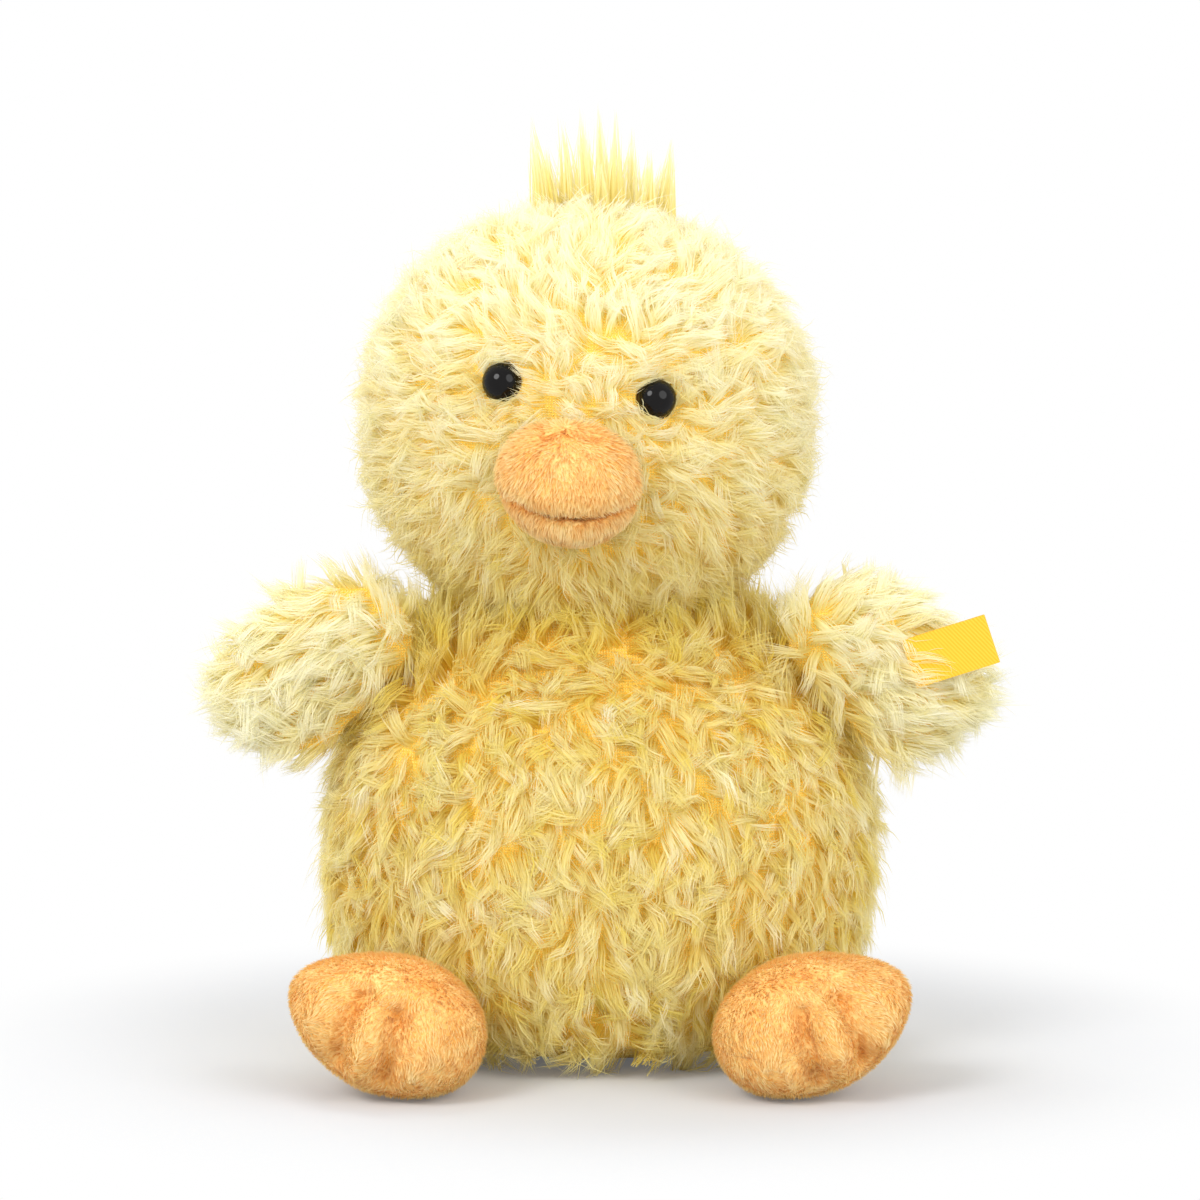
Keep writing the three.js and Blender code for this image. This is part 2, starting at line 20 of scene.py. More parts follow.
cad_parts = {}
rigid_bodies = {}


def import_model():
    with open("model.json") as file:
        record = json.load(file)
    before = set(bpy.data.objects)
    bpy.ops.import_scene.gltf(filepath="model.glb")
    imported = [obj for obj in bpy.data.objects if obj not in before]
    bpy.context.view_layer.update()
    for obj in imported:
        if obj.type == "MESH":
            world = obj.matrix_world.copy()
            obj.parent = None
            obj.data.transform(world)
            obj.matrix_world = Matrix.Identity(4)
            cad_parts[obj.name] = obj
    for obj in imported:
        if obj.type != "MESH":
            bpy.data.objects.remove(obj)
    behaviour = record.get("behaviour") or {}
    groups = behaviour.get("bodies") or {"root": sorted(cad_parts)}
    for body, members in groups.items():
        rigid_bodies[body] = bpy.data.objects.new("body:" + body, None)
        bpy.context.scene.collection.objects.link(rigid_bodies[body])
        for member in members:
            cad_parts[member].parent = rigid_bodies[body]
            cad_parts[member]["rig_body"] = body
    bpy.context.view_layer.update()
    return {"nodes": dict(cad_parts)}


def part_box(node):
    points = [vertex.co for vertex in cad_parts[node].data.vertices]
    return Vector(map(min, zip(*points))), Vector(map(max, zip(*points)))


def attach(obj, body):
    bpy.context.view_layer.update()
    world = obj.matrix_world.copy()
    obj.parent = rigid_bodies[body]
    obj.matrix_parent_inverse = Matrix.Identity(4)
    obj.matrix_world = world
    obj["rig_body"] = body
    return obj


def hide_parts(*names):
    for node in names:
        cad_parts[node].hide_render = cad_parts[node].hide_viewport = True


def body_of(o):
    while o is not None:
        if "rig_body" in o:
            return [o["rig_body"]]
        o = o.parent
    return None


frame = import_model()
nodes = frame["nodes"]
scene = bpy.context.scene
MM = 0.001

# %% [markdown]
# The camera stands where the photographer's did: straight in front, a little above the chick, far
# enough away that the feet aren't swollen by perspective. The lens follows from the distance and
# from how much of the picture the chick fills.

# %% Camera
CAMERA_RISE = math.radians(6)
CAMERA_DISTANCE = 1.3
VIEW_WIDTH = 0.278
AIM = Vector((0, 0, 0.10485))
SENSOR = 36

camera_data = bpy.data.cameras.new("camera")
camera_data.sensor_width = SENSOR
camera_data.lens = SENSOR * CAMERA_DISTANCE / VIEW_WIDTH
camera = bpy.data.objects.new("camera", camera_data)
camera.location = AIM + CAMERA_DISTANCE * Vector((0, -math.cos(CAMERA_RISE), math.sin(CAMERA_RISE)))
camera.rotation_euler = (math.pi / 2 - CAMERA_RISE, 0, 0)
scene.collection.objects.link(camera)
scene.camera = camera
scene.view_settings.view_transform = "Standard"
print("lens", round(camera_data.lens, 1), "mm")

# %% [markdown]
# Finishes are written as sums. A Value wraps one output of a node, and each operator on it adds a
# Math node, so a formula in the script reads like the formula it stands for. Every other node comes
# from one method, which sets the node up and then fills or links its sockets.

# %% Shader helpers
class Value:
    """One output of a node that takes part in sums."""

    def __init__(self, finish, socket):
        self.finish = finish
        self.socket = socket

    def maths(self, operation, first, second):
        settings = {"operation": operation}
        return self.finish.node("ShaderNodeMath", settings, {0: first, 1: second})

    def __add__(self, other):
        return self.maths("ADD", self, other)

    def __radd__(self, other):
        return self.maths("ADD", other, self)

    def __mul__(self, other):
        return self.maths("MULTIPLY", self, other)

    def __rmul__(self, other):
        return self.maths("MULTIPLY", other, self)


class Finish:
    """A material, or the world, whose nodes are made one call at a time."""

    def __init__(self, owner):
        owner.use_nodes = True
        self.owner = owner
        self.tree = owner.node_tree
        self.tree.nodes.clear()

    def node(self, kind, settings=None, inputs=None, output=0):
        made = self.tree.nodes.new(kind)
        for key, value in (settings or {}).items():
            if key == "stops":
                self.set_stops(made.color_ramp, value)
            else:
                setattr(made, key, value)
        for key, value in (inputs or {}).items():
            if isinstance(value, Value):
                self.tree.links.new(value.socket, made.inputs[key])
            else:
                made.inputs[key].default_value = value
        return Value(self, made.outputs[output]) if made.outputs else made

    @staticmethod
    def set_stops(ramp, stops):
        while len(ramp.elements) < len(stops):
            ramp.elements.new(1.0)
        for element, (place, colour) in zip(ramp.elements, stops):
            element.position = place
            element.color = colour

    def light_through(self, deep, pale, share):
        """A shader for light that comes through fibres, between two colours."""
        dark = self.node("ShaderNodeBsdfTranslucent", None, {"Color": deep})
        light = self.node("ShaderNodeBsdfTranslucent", None, {"Color": pale})
        return self.node("ShaderNodeMixShader", None, {0: share, 1: dark, 2: light})

    def surface(self, shader):
        self.node("ShaderNodeOutputMaterial", None, {"Surface": shader})
        return self.owner


def new_finish(name):
    return Finish(bpy.data.materials.new(name))


def paint(red, green, blue):
    """A colour as a paint chart gives it, 0 to 255, as the linear colour that the shader wants."""
    linear = []
    for part in (red, green, blue):
        share = part / 255
        linear.append(share / 12.92 if share <= 0.04045 else ((share + 0.055) / 1.055) ** 2.4)
    return (*linear, 1.0)


# %% [markdown]
# The finish of a pile. On the real cloth the fibres are dyed one pale yellow, but deep in the pile the
# light has passed many fibres and comes back golden, so the roots are painted golden, a painted shade, and
# the tips are nearly cream. Each strand carries a map: its height from root to tip, and a shade of its own,
# which holds painted light and shade as well as its tone. The colour reads only those two, so it stays the
# same from every side. Some of the light goes through a strand, which makes the fur glow where plain paint
# would go grey. The short pile of the beak and feet is made the same way in peach, with less light through
# it.

# %% Finishes of the piles
PILE_MAP = "OFBake"


def strand_finish(name, deep, pale, gloss, through, glow):
    """Fibres between a deep and a pale ramp, each from root to tip. glow is the light let through."""
    finish = new_finish(name)
    place = finish.node("ShaderNodeUVMap", {"uv_map": PILE_MAP})
    shade = finish.node("ShaderNodeSeparateXYZ", None, {0: place}, 0)
    height = finish.node("ShaderNodeSeparateXYZ", None, {0: place}, 1)
    deep_colour = finish.node("ShaderNodeValToRGB", {"stops": deep}, {0: height})
    pale_colour = finish.node("ShaderNodeValToRGB", {"stops": pale}, {0: height})
    colour = finish.node("ShaderNodeMix", {"data_type": "RGBA"},
                         {0: shade, 6: deep_colour, 7: pale_colour}, 2)
    lit = finish.node("ShaderNodeBsdfPrincipled", None, {"Base Color": colour, **gloss})
    by_shade, by_height, least = through["weights"]
    share = by_shade * shade + by_height * height + least
    soft = finish.light_through(through["deep"], through["pale"], share)
    return finish.surface(finish.node("ShaderNodeMixShader", None, {0: glow, 1: lit, 2: soft}))


# The deep ramps and the golden roots are painted shade: strands in creases and in shade take the deep ramp.
long_pile = strand_finish(
    "long_pile",
    deep=[(0.0, paint(238, 208, 60)), (1.0, paint(251, 249, 152))],
    pale=[(0.0, paint(252, 249, 162)), (0.45, paint(254, 253, 224)), (1.0, paint(255, 255, 250))],
    gloss={"Roughness": 0.7, "Specular IOR Level": 0.25, "Sheen Weight": 0.15, "Sheen Roughness": 0.5},
    through={"deep": paint(242, 221, 90), "pale": paint(255, 255, 246), "weights": (0.75, 0.25, 0.04)},
    glow=0.6)
short_pile = strand_finish(
    "short_pile",
    deep=[(0.0, paint(230, 154, 56)), (0.8, paint(248, 200, 104))],
    pale=[(0.0, paint(250, 224, 142)), (0.8, paint(255, 243, 194))],
    gloss={"Roughness": 0.6, "Specular IOR Level": 0.3, "Sheen Weight": 0.2, "Sheen Roughness": 0.4},
    through={"deep": paint(240, 174, 76), "pale": paint(252, 236, 170), "weights": (0.8, 0.2, 0.0)},
    glow=0.35)
print("finishes", long_pile.name, short_pile.name)

# %% [markdown]
# Cloths. The backing under the pile is a knit, so it gets a fine grid of loops and a golden colour that
# shows only where the pile parts. It glows a little, a painted light that stands for the light that comes
# through the cloth and its filling, so that the gaps in the pile don't go dark. The cloth under the short
# peach pile has blotches where the pile lies one way or the other, and a fine grain.

# %% Finishes of the cloths
OBJECT_PLACE = 3


def object_place(finish):
    return finish.node("ShaderNodeTexCoord", None, None, OBJECT_PLACE)


def cloth_finish(name, dark, light, grain_mm, blotch_mm, depth_mm):
    """Cloth with a fine grain and wide blotches between two colours."""
    finish = new_finish(name)
    place = object_place(finish)
    grain = finish.node("ShaderNodeTexNoise", None,
                        {"Vector": place, "Scale": 1 / (grain_mm * MM), "Detail": 3.0})
    blotch = finish.node("ShaderNodeTexNoise", None,
                         {"Vector": place, "Scale": 1 / (blotch_mm * MM), "Detail": 2.0})
    mixed = 0.55 * blotch + 0.45 * grain
    colour = finish.node("ShaderNodeValToRGB", {"stops": [(0.35, dark), (0.65, light)]}, {0: mixed})
    bump = finish.node("ShaderNodeBump", None,
                       {"Height": grain, "Distance": depth_mm * MM, "Strength": 0.6})
    shader = finish.node("ShaderNodeBsdfPrincipled", None,
                         {"Base Color": colour, "Roughness": 0.85, "Specular IOR Level": 0.2,
                          "Sheen Weight": 0.3, "Sheen Roughness": 0.4, "Normal": bump})
    return finish.surface(shader)


def knit_finish(name, dark, light, loop_mm, glow=0.0):
    """A knit of small loops in rows. glow is a painted light: an emission that stands for the light through
    the cloth.
    """
    finish = new_finish(name)
    place = object_place(finish)
    along = finish.node("ShaderNodeTexWave", {"bands_direction": "Z"},
                        {"Vector": place, "Scale": 0.3 / (loop_mm * MM), "Distortion": 1.5})
    across = finish.node("ShaderNodeTexWave", {"bands_direction": "X"},
                         {"Vector": place, "Scale": 0.3 / (loop_mm * MM), "Distortion": 1.5})
    loops = along * across
    colour = finish.node("ShaderNodeValToRGB", {"stops": [(0.0, dark), (0.6, light)]}, {0: loops})
    bump = finish.node("ShaderNodeBump", None, {"Height": loops, "Distance": 0.3 * MM})
    shader = finish.node("ShaderNodeBsdfPrincipled", None,
                         {"Base Color": colour, "Roughness": 0.9, "Specular IOR Level": 0.15,
                          "Emission Color": colour, "Emission Strength": glow, "Normal": bump})
    return finish.surface(shader)


# The backing's glow is painted light, so that the gaps in the pile glow golden.
pile_backing = knit_finish("pile_backing", paint(246, 196, 80), paint(253, 226, 128), 0.6, 0.15)
seat_cloth = knit_finish("seat_cloth", paint(226, 190, 104), paint(246, 222, 150), 0.9)
pellet_cloth = knit_finish("pellet_cloth", paint(188, 180, 164), paint(216, 209, 194), 0.8)
peach_backing = cloth_finish("peach_backing", paint(242, 180, 92), paint(253, 220, 148), 0.7, 9, 0.25)
fibre_fill = cloth_finish("fibre_fill", paint(222, 218, 208), paint(250, 248, 243), 0.5, 6, 0.4)
thread_twist = cloth_finish("thread_twist", paint(222, 146, 62), paint(240, 178, 98), 0.4, 3, 0.1)
print("cloths", pile_backing.name, peach_backing.name, fibre_fill.name)

# %% [markdown]
# Stage and light. The photograph has a white background with a soft grey shadow under the chick, so
# the floor is pale grey near the chick, where it keeps the shadow, and turns into plain white
# further out. A large soft lamp stands in front at the left, a weaker one at the right, and a weak
# one high behind, for the edge of the head. The sky does the rest: it lights all sides, as a light
# tent does.

# %% Floor, lamps and sky
FLOOR_SIZE = 12
FLOOR_GREY = (0.58, 0.59, 0.61, 1)
FLOOR_LIFT = 0.1
WHITE_FROM = 0.09
WHITE_AT = 0.17
SKY_LIGHT = 0.82
LAMPS = (("key_lamp", (-0.9, -1.1, 1.05), 0.8, 15.0),
         ("top_lamp", (-0.25, 0.55, 1.4), 0.7, 5.0),
         ("fill_lamp", (1.0, -1.1, 0.8), 1.2, 11.0))


def background_ray(finish):
    """1 for rays that see the background: from the camera, off gloss or through glass."""
    camera_ray = finish.node("ShaderNodeLightPath", None, None, 0)
    glossy_ray = finish.node("ShaderNodeLightPath", None, None, 3)
    through_ray = finish.node("ShaderNodeLightPath", None, None, 6)
    return finish.node("ShaderNodeClamp", None, {0: camera_ray + glossy_ray + through_ray})


def make_sky():
    world = scene.world or bpy.data.worlds.new("sky")
    scene.world = world
    finish = Finish(world)
    seen = background_ray(finish)
    strength = SKY_LIGHT + (1 - SKY_LIGHT) * seen
    sky = finish.node("ShaderNodeBackground", None, {"Color": (1, 1, 1, 1), "Strength": strength})
    finish.node("ShaderNodeOutputWorld", None, {"Surface": sky})


def floor_finish():
    finish = new_finish("floor_white")
    place = object_place(finish)
    away = finish.node("ShaderNodeVectorMath", {"operation": "LENGTH"}, {0: place}, 1)
    far = finish.node("ShaderNodeMapRange", {"interpolation_type": "SMOOTHSTEP"},
                      {"Value": away, "From Min": WHITE_FROM, "From Max": WHITE_AT})
    cloth = finish.node("ShaderNodeBsdfDiffuse", None, {"Color": FLOOR_GREY})
    lift = finish.node("ShaderNodeEmission", None, {"Strength": FLOOR_LIFT * background_ray(finish)})
    near_floor = finish.node("ShaderNodeAddShader", None, {0: cloth, 1: lift})
    white = finish.node("ShaderNodeEmission", None, {"Strength": 1.0})
    return finish.surface(finish.node("ShaderNodeMixShader", None,
                                      {0: far * background_ray(finish), 1: near_floor, 2: white}))


def make_floor():
    grid = bmesh.new()
    bmesh.ops.create_grid(grid, x_segments=1, y_segments=1, size=FLOOR_SIZE / 2)
    mesh = bpy.data.meshes.new("floor")
    grid.to_mesh(mesh)
    grid.free()
    floor = bpy.data.objects.new("floor", mesh)
    floor.data.materials.append(floor_finish())
    scene.collection.objects.link(floor)


def make_lamp(name, place, size, power):
    lamp_data = bpy.data.lights.new(name, "AREA")
    lamp_data.shape = "DISK"
    lamp_data.size = size
    lamp_data.energy = power
    lamp = bpy.data.objects.new(name, lamp_data)
    lamp.location = place
    lamp.rotation_euler = (AIM - Vector(place)).to_track_quat("-Z", "Y").to_euler()
    scene.collection.objects.link(lamp)


make_sky()
make_floor()
for lamp in LAMPS:
    make_lamp(*lamp)
print("lamps", [lamp[0] for lamp in LAMPS])

# %% [markdown]
# Skins. A stuffed form is a bag that the filling blows up. So each skin starts as a ball of cloth
# around the CAD solids, drawn in until it lies on them. The facets are smoothed out, and the cloth
# solver then fills the bag: its seams are pinned, the panels between them swell, and the seams end
# up a little drawn in, as they are on the sewn toy. Modelling the swell by hand would be quicker to
# run, but the puckers beside a seam come out of the solver by themselves.

# %% Forms wrapped round the solids
WRAP_REACH = 0.2
FILL_STEPS = 20


def solids_tree(*names):
    """A search tree over the triangles of some CAD nodes."""
    points = []
    faces = []
    for name in names:
        mesh = nodes[name].data
        first = len(points)
        points += [vert.co.copy() for vert in mesh.vertices]
        faces += [[first + index for index in face.vertices] for face in mesh.polygons]
    return BVHTree.FromPolygons(points, faces)


def middle_of(*names):
    """The middle of the box round some CAD nodes."""
    boxes = [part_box(name) for name in names]
    low = Vector([min(box[0][i] for box in boxes) for i in range(3)])
    high = Vector([max(box[1][i] for box in boxes) for i in range(3)])
    return (low + high) / 2


def new_piece(name, shape, finish):
    """An object from a bmesh, which is freed."""
    mesh = bpy.data.meshes.new(name)
    shape.to_mesh(mesh)
    shape.free()
    mesh.shade_smooth()
    piece = bpy.data.objects.new(name, mesh)
    piece.data.materials.append(finish)
    scene.collection.objects.link(piece)
    return piece


def wrap(name, solids, centre, smoothing, finish, inset_mm=0.0):
    """A ball drawn in on some solids. The slits of their seams are closed, and it is smoothed."""
    tree = solids_tree(*solids)
    ball = bmesh.new()
    bmesh.ops.create_icosphere(ball, subdivisions=5, radius=1)
    directions = [vert.co.normalized() for vert in ball.verts]
    around = [[edge.other_vert(vert).index for edge in vert.link_edges] for vert in ball.verts]
    reach = []
    for direction in directions:
        far = tree.ray_cast(centre + direction * WRAP_REACH, -direction, WRAP_REACH)[3]
        reach.append(0.0 if far is None else WRAP_REACH - far)
    for choose in (max, max, min, min):
        reach = [choose(reach[near] for near in (*ring, index)) for index, ring in enumerate(around)]
    for vert, direction, far in zip(ball.verts, directions, reach):
        vert.co = centre + direction * (far - inset_mm * MM)
    for _ in range(smoothing):
        bmesh.ops.smooth_vert(ball, verts=ball.verts, factor=0.5,
                              use_axis_x=True, use_axis_y=True, use_axis_z=True)
    return new_piece(name, ball, finish)


def distances(form, measure):
    return np.array([measure(vert.co) for vert in form.data.vertices])


def stuff(form, seam_distance, seam_mm, cap_mm, pressure=4.0):
    """Fills a form with the cloth solver. Points near a seam are pinned."""
    mesh = form.data
    rest = np.array([vert.co for vert in mesh.vertices])
    pinned = form.vertex_groups.new(name="seams")
    for index, far in enumerate(seam_distance):
        held = max(0.0, 1.0 - far / (seam_mm * MM))
        if held > 0:
            pinned.add([index], held, "REPLACE")
    cloth = form.modifiers.new("filling", "CLOTH")
    cloth.settings.vertex_group_mass = "seams"
    cloth.settings.use_pressure = True
    cloth.settings.uniform_pressure_force = pressure
    cloth.settings.effector_weights.gravity = 0
    cloth.settings.quality = 5
    for step in range(1, FILL_STEPS + 1):
        scene.frame_set(step)
    filled = form.evaluated_get(bpy.context.evaluated_depsgraph_get())
    place = np.array([vert.co for vert in filled.data.vertices])
    form.modifiers.clear()
    form.vertex_groups.clear()
    scene.frame_set(1)
    move = place - rest
    length = np.linalg.norm(move, axis=1, keepdims=True)
    move *= np.minimum(1.0, cap_mm * MM / np.maximum(length, 1e-9))
    mesh.vertices.foreach_set("co", (rest + move).astype(np.float32).ravel())
    mesh.update()
    print(form.name, "filled, moved up to", round(float(length.max()) / MM, 2), "mm")


# %% The forms of the toy
neck_centre = middle_of("neck_stuffing")
neck_radius = (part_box("neck_stuffing")[1].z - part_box("neck_stuffing")[0].z) / 2
side_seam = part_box("body_front_cover")[1].y
SIDES = ("left", "right")
HALVES = ("upper", "lower")
eye_places = {side: middle_of(f"eye_{side}") for side in SIDES}
face_across = (eye_places["left"] - eye_places["right"]).normalized()
face_middle = (eye_places["left"] + eye_places["right"]) / 2

body_form = wrap("body_form", ["body_front_cover", "body_back_cover", "body_base_panel", "neck_stuffing"],
                 middle_of("body_stuffing"), 14, pile_backing, inset_mm=1.6)
head_form = wrap("head_form", ["head_left_cover", "head_right_cover", "neck_stuffing"],
                 middle_of("head_stuffing"), 14, pile_backing, inset_mm=1.6)
wing_forms = {}
foot_forms = {}
for side in SIDES:
    wing = [f"wing_{side}_{piece}" for piece in ("front_cover", "back_cover", "stuffing")]
    wing_forms[side] = wrap(f"wing_{side}_form", wing, middle_of(wing[2]), 5, pile_backing, inset_mm=1.0)
    foot = [f"foot_{side}_{piece}" for piece in ("upper_cover", "sole_cover", "stuffing")]
    foot_forms[side] = wrap(f"foot_{side}_form", foot, middle_of(foot[2]), 4, peach_backing, inset_mm=1.2)
beak_forms = {}
for half in HALVES:
    beak = [f"beak_{half}_{piece}" for piece in ("cover", "stuffing")]
    beak_forms[half] = wrap(f"beak_{half}_form", beak, middle_of(beak[1]), 3, peach_backing, inset_mm=0.6)
print("forms wrapped")

# %% [markdown]
# The lower half of the beak is sewn flush with the upper one, and their seam bends up at its ends
# like a smile. So the lower form is widened and raised to the upper one, and its ends are lifted.

# %% Close the mouth
LIP_SHIFT = 0.8
LIP_WIDENING = 1.1
LIP_RAISING = 1.2
LIP_SMILE = 0.014
lip = beak_forms["lower"].data
lip_low, lip_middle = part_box("beak_lower_cover")[0], middle_of("beak_lower_cover")
for vert in lip.vertices:
    across = vert.co.x - lip_middle.x
    vert.co.x = lip_middle.x + LIP_SHIFT * MM + LIP_WIDENING * across
    vert.co.z = lip_low.z + LIP_RAISING * (vert.co.z - lip_low.z) + LIP_SMILE * across ** 2 / MM
print("lip of", len(lip.vertices), "points")

# %% [markdown]
# Filling the bags. The seams follow the sewing: round the sides of the body and over its seat, over
# the middle of the head, round the rim of a wing, and along the sole and the toe stitches of a foot.
# Each form was wrapped a little small, so that it ends at its real size when it is full.

# %% Fill the forms
SEAM_WIDTH = 3
TOE_ABOVE = 2
TOE_BELOW = 10


def from_plane(point, normal):
    return lambda place: abs((place - point).dot(normal))


def from_nodes(*names):
    tree = solids_tree(*names)
    return lambda place: tree.find_nearest(place)[3]


def thread_ends(name):
    """The ends of a toe's groove: those of its thread, drawn out, the lower one most."""
    points = np.array([vert.co for vert in nodes[name].data.vertices])
    middle = points.mean(0)
    way = np.linalg.svd(points - middle, full_matrices=False)[2][0]
    way = way if way[2] < 0 else -way
    reach = np.abs((points - middle) @ way).max()
    return Vector(middle - way * (reach + TOE_ABOVE * MM)), Vector(middle + way * (reach + TOE_BELOW * MM))


def from_line(start, end):
    """Measures the distance to the line between two points."""
    way = end - start

    def measure(place):
        share = min(1.0, max(0.0, (place - start).dot(way) / way.length_squared))
        return (place - start - way * share).length

    return measure


def nearest_of(*measures):
    return lambda place: min(measure(place) for measure in measures)


def thin_axis(*names):
    """The direction in which some nodes are thinnest, turned to the front."""
    points = np.array([vert.co for name in names for vert in nodes[name].data.vertices])
    axis = Vector(np.linalg.svd(points - points.mean(0), full_matrices=False)[2][2])
    return axis if axis.y < 0 else -axis


UP = Vector((0, 0, 1))
BACKWARDS = Vector((0, 1, 0))
base_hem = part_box("body_base_panel")[1].z
body_seams = nearest_of(from_plane(Vector((0, side_seam, 0)), BACKWARDS),
                        from_plane(Vector((0, 0, base_hem)), UP))
fillings = [(body_form, body_seams, 2.0), (head_form, from_plane(face_middle, face_across), 2.0)]
wing_middles = {}
wing_fronts = {}
sole_seams = {}
toe_lines = {}
for side in SIDES:
    wing_middles[side] = middle_of(f"wing_{side}_stuffing")
    wing_fronts[side] = thin_axis(f"wing_{side}_front_cover", f"wing_{side}_back_cover")
    fillings.append((wing_forms[side], from_plane(wing_middles[side], wing_fronts[side]), 1.2))
    sole_seams[side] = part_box(f"foot_{side}_sole_cover")[1]
    toe_lines[side] = nearest_of(*(from_line(*thread_ends(f"foot_{side}_toe_stitch_{toe}"))
                                   for toe in ("inner", "outer")))
    foot_seams = nearest_of(toe_lines[side], from_plane(sole_seams[side], UP))
    fillings.append((foot_forms[side], foot_seams, 1.6))
for half in HALVES:
    fillings.append((beak_forms[half], from_nodes("head_left_cover", "head_right_cover"), 0.8))
for form, measure, cap in fillings:
    stuff(form, distances(form, measure), SEAM_WIDTH, cap)

# %% [markdown]
# Rounding off. Subdivision turns the filled bags into smooth surfaces. The toe threads then draw
# the cloth in: points near a groove are pulled inwards, first in a wide hollow, then in a narrow
# crease. Two dimples in the beak are made the same way, where its cloth is gathered. Each depth and
# width is in millimetres.

# %% Smooth the forms and draw in the toes
TOE_HOLLOW = (3.2, 4.4)
TOE_CREASE = (1.5, 1.6)
LINE_STEPS = 14
DIMPLES = (0.36, 0.63)
DIMPLE_BACK = 9
DIMPLE_HOLLOW = (1.3, 2.0)


def form_tree(form):
    """A search tree over the faces of a form."""
    points = [vert.co for vert in form.data.vertices]
    return BVHTree.FromPolygons(points, [list(face.vertices) for face in form.data.polygons])


def bake(pieces):
    """Replaces each piece's mesh by the one that its modifiers make."""
    graph = bpy.context.evaluated_depsgraph_get()
    for piece in pieces:
        mesh = bpy.data.meshes.new_from_object(piece.evaluated_get(graph))
        piece.modifiers.clear()
        piece.data = mesh
        mesh.shade_smooth()


def draw_in(form, measure, depth_mm, width_mm):
    """Pulls a form's surface inwards along the lines that measure gives the distance to."""
    moves = []
    for vert in form.data.vertices:
        pull = depth_mm * MM * math.exp(-(measure(vert.co) / (width_mm * MM)) ** 2)
        moves.append(vert.normal * pull)
    for vert, move in zip(form.data.vertices, moves):
        vert.co -= move
    form.data.update()


def surface_line(form, start, end):
    """Measures the distance to a line that is moved out from the middle of a form to its surface."""
    tree = form_tree(form)
    middle = Vector(np.mean([vert.co for vert in form.data.vertices], axis=0))
    spots = []
    for step in range(LINE_STEPS + 1):
        way = (start.lerp(end, step / LINE_STEPS) - middle).normalized()
        spots.append(tree.ray_cast(middle + way * WRAP_REACH, -way)[0])
    return lambda place: min((place - spot).length for spot in spots)


def toe_grooves(side):
    """Measures the distance to the grooves of a foot, on its surface as it is now."""
    ends = (thread_ends(f"foot_{side}_toe_stitch_{toe}") for toe in ("inner", "outer"))
    return nearest_of(*(surface_line(foot_forms[side], *pair) for pair in ends))


all_forms = [entry[0] for entry in fillings]
for form in all_forms:
    form.modifiers.new("round", "SUBSURF").levels = 1
bake(all_forms)
for side in SIDES:
    draw_in(foot_forms[side], toe_grooves(side), *TOE_HOLLOW)
    draw_in(foot_forms[side], toe_grooves(side), *TOE_CREASE)
beak_low, beak_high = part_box("beak_upper_cover")
dimples = []
for share in DIMPLES:
    across = beak_low.x + share * (beak_high.x - beak_low.x)
    above = Vector((across, beak_low.y + DIMPLE_BACK * MM, beak_high.z + 20 * MM))
    dimples.append(form_tree(beak_forms["upper"]).ray_cast(above, -UP)[0])
dimple_gap = nearest_of(*(lambda place, dimple=dimple: (place - dimple).length for dimple in dimples))
draw_in(beak_forms["upper"], dimple_gap, *DIMPLE_HOLLOW)
print("forms rounded", [len(form.data.polygons) for form in all_forms])

# %% [markdown]
# Covers. Each bag is cut along its seams into the panels that the toy is sewn from, and every panel
# gets the thickness of its cloth. The body and the head leave the neck open, where the ball of the
# neck turns.

# %% Cut the covers
CLOTH_THICKNESS = 1.2
NECK_EDGE = 0.4


def declare_cover(panel, node, body):
    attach(panel, body)
    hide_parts(node)
    return panel


def cut_cover(form, node, body, planes, finish, neck_open=False):
    """One panel of a form: what lies on the inner side of every plane, as cloth."""
    shape = bmesh.new()
    shape.from_mesh(form.data)
    if neck_open:
        reach = neck_radius + NECK_EDGE * MM
        inside = [face for face in shape.faces if (face.calc_center_median() - neck_centre).length < reach]
        bmesh.ops.delete(shape, geom=inside, context="FACES")
    for point, outwards in planes:
        bmesh.ops.bisect_plane(shape, geom=shape.verts[:] + shape.edges[:] + shape.faces[:], dist=1e-7,
                               plane_co=point, plane_no=outwards, clear_outer=True)
    panel = new_piece(node.replace("cover", "skin").replace("panel", "skin"), shape, finish)
    cloth = panel.modifiers.new("thickness", "SOLIDIFY")
    cloth.thickness = CLOTH_THICKNESS * MM
    cloth.offset = -1
    return declare_cover(panel, node, body)


seat_plane = Vector((0, 0, base_hem))
side_plane = Vector((0, side_seam, 0))
panels = [
    cut_cover(body_form, "body_front_cover", "torso",
              [(side_plane, BACKWARDS), (seat_plane, -UP)], pile_backing, True),
    cut_cover(body_form, "body_back_cover", "torso",
              [(side_plane, -BACKWARDS), (seat_plane, -UP)], pile_backing, True),
    cut_cover(body_form, "body_base_panel", "torso", [(seat_plane, UP)], seat_cloth),
    cut_cover(head_form, "head_left_cover", "head",
              [(face_middle, -face_across)], pile_backing, True),
    cut_cover(head_form, "head_right_cover", "head",
              [(face_middle, face_across)], pile_backing, True),
]
for side in SIDES:
    for face, outwards in (("front", -wing_fronts[side]), ("back", wing_fronts[side])):
        panels.append(cut_cover(wing_forms[side], f"wing_{side}_{face}_cover", f"wing_{side}",
                                [(wing_middles[side], outwards)], pile_backing))
    for part, outwards in (("upper", -UP), ("sole", UP)):
        panels.append(cut_cover(foot_forms[side], f"foot_{side}_{part}_cover", f"foot_{side}",
                                [(sole_seams[side], outwards)], peach_backing))
for half in HALVES:
    panels.append(cut_cover(beak_forms[half], f"beak_{half}_cover", "head", [],
                            peach_backing))
bake(panels)
print("covers", len(panels))

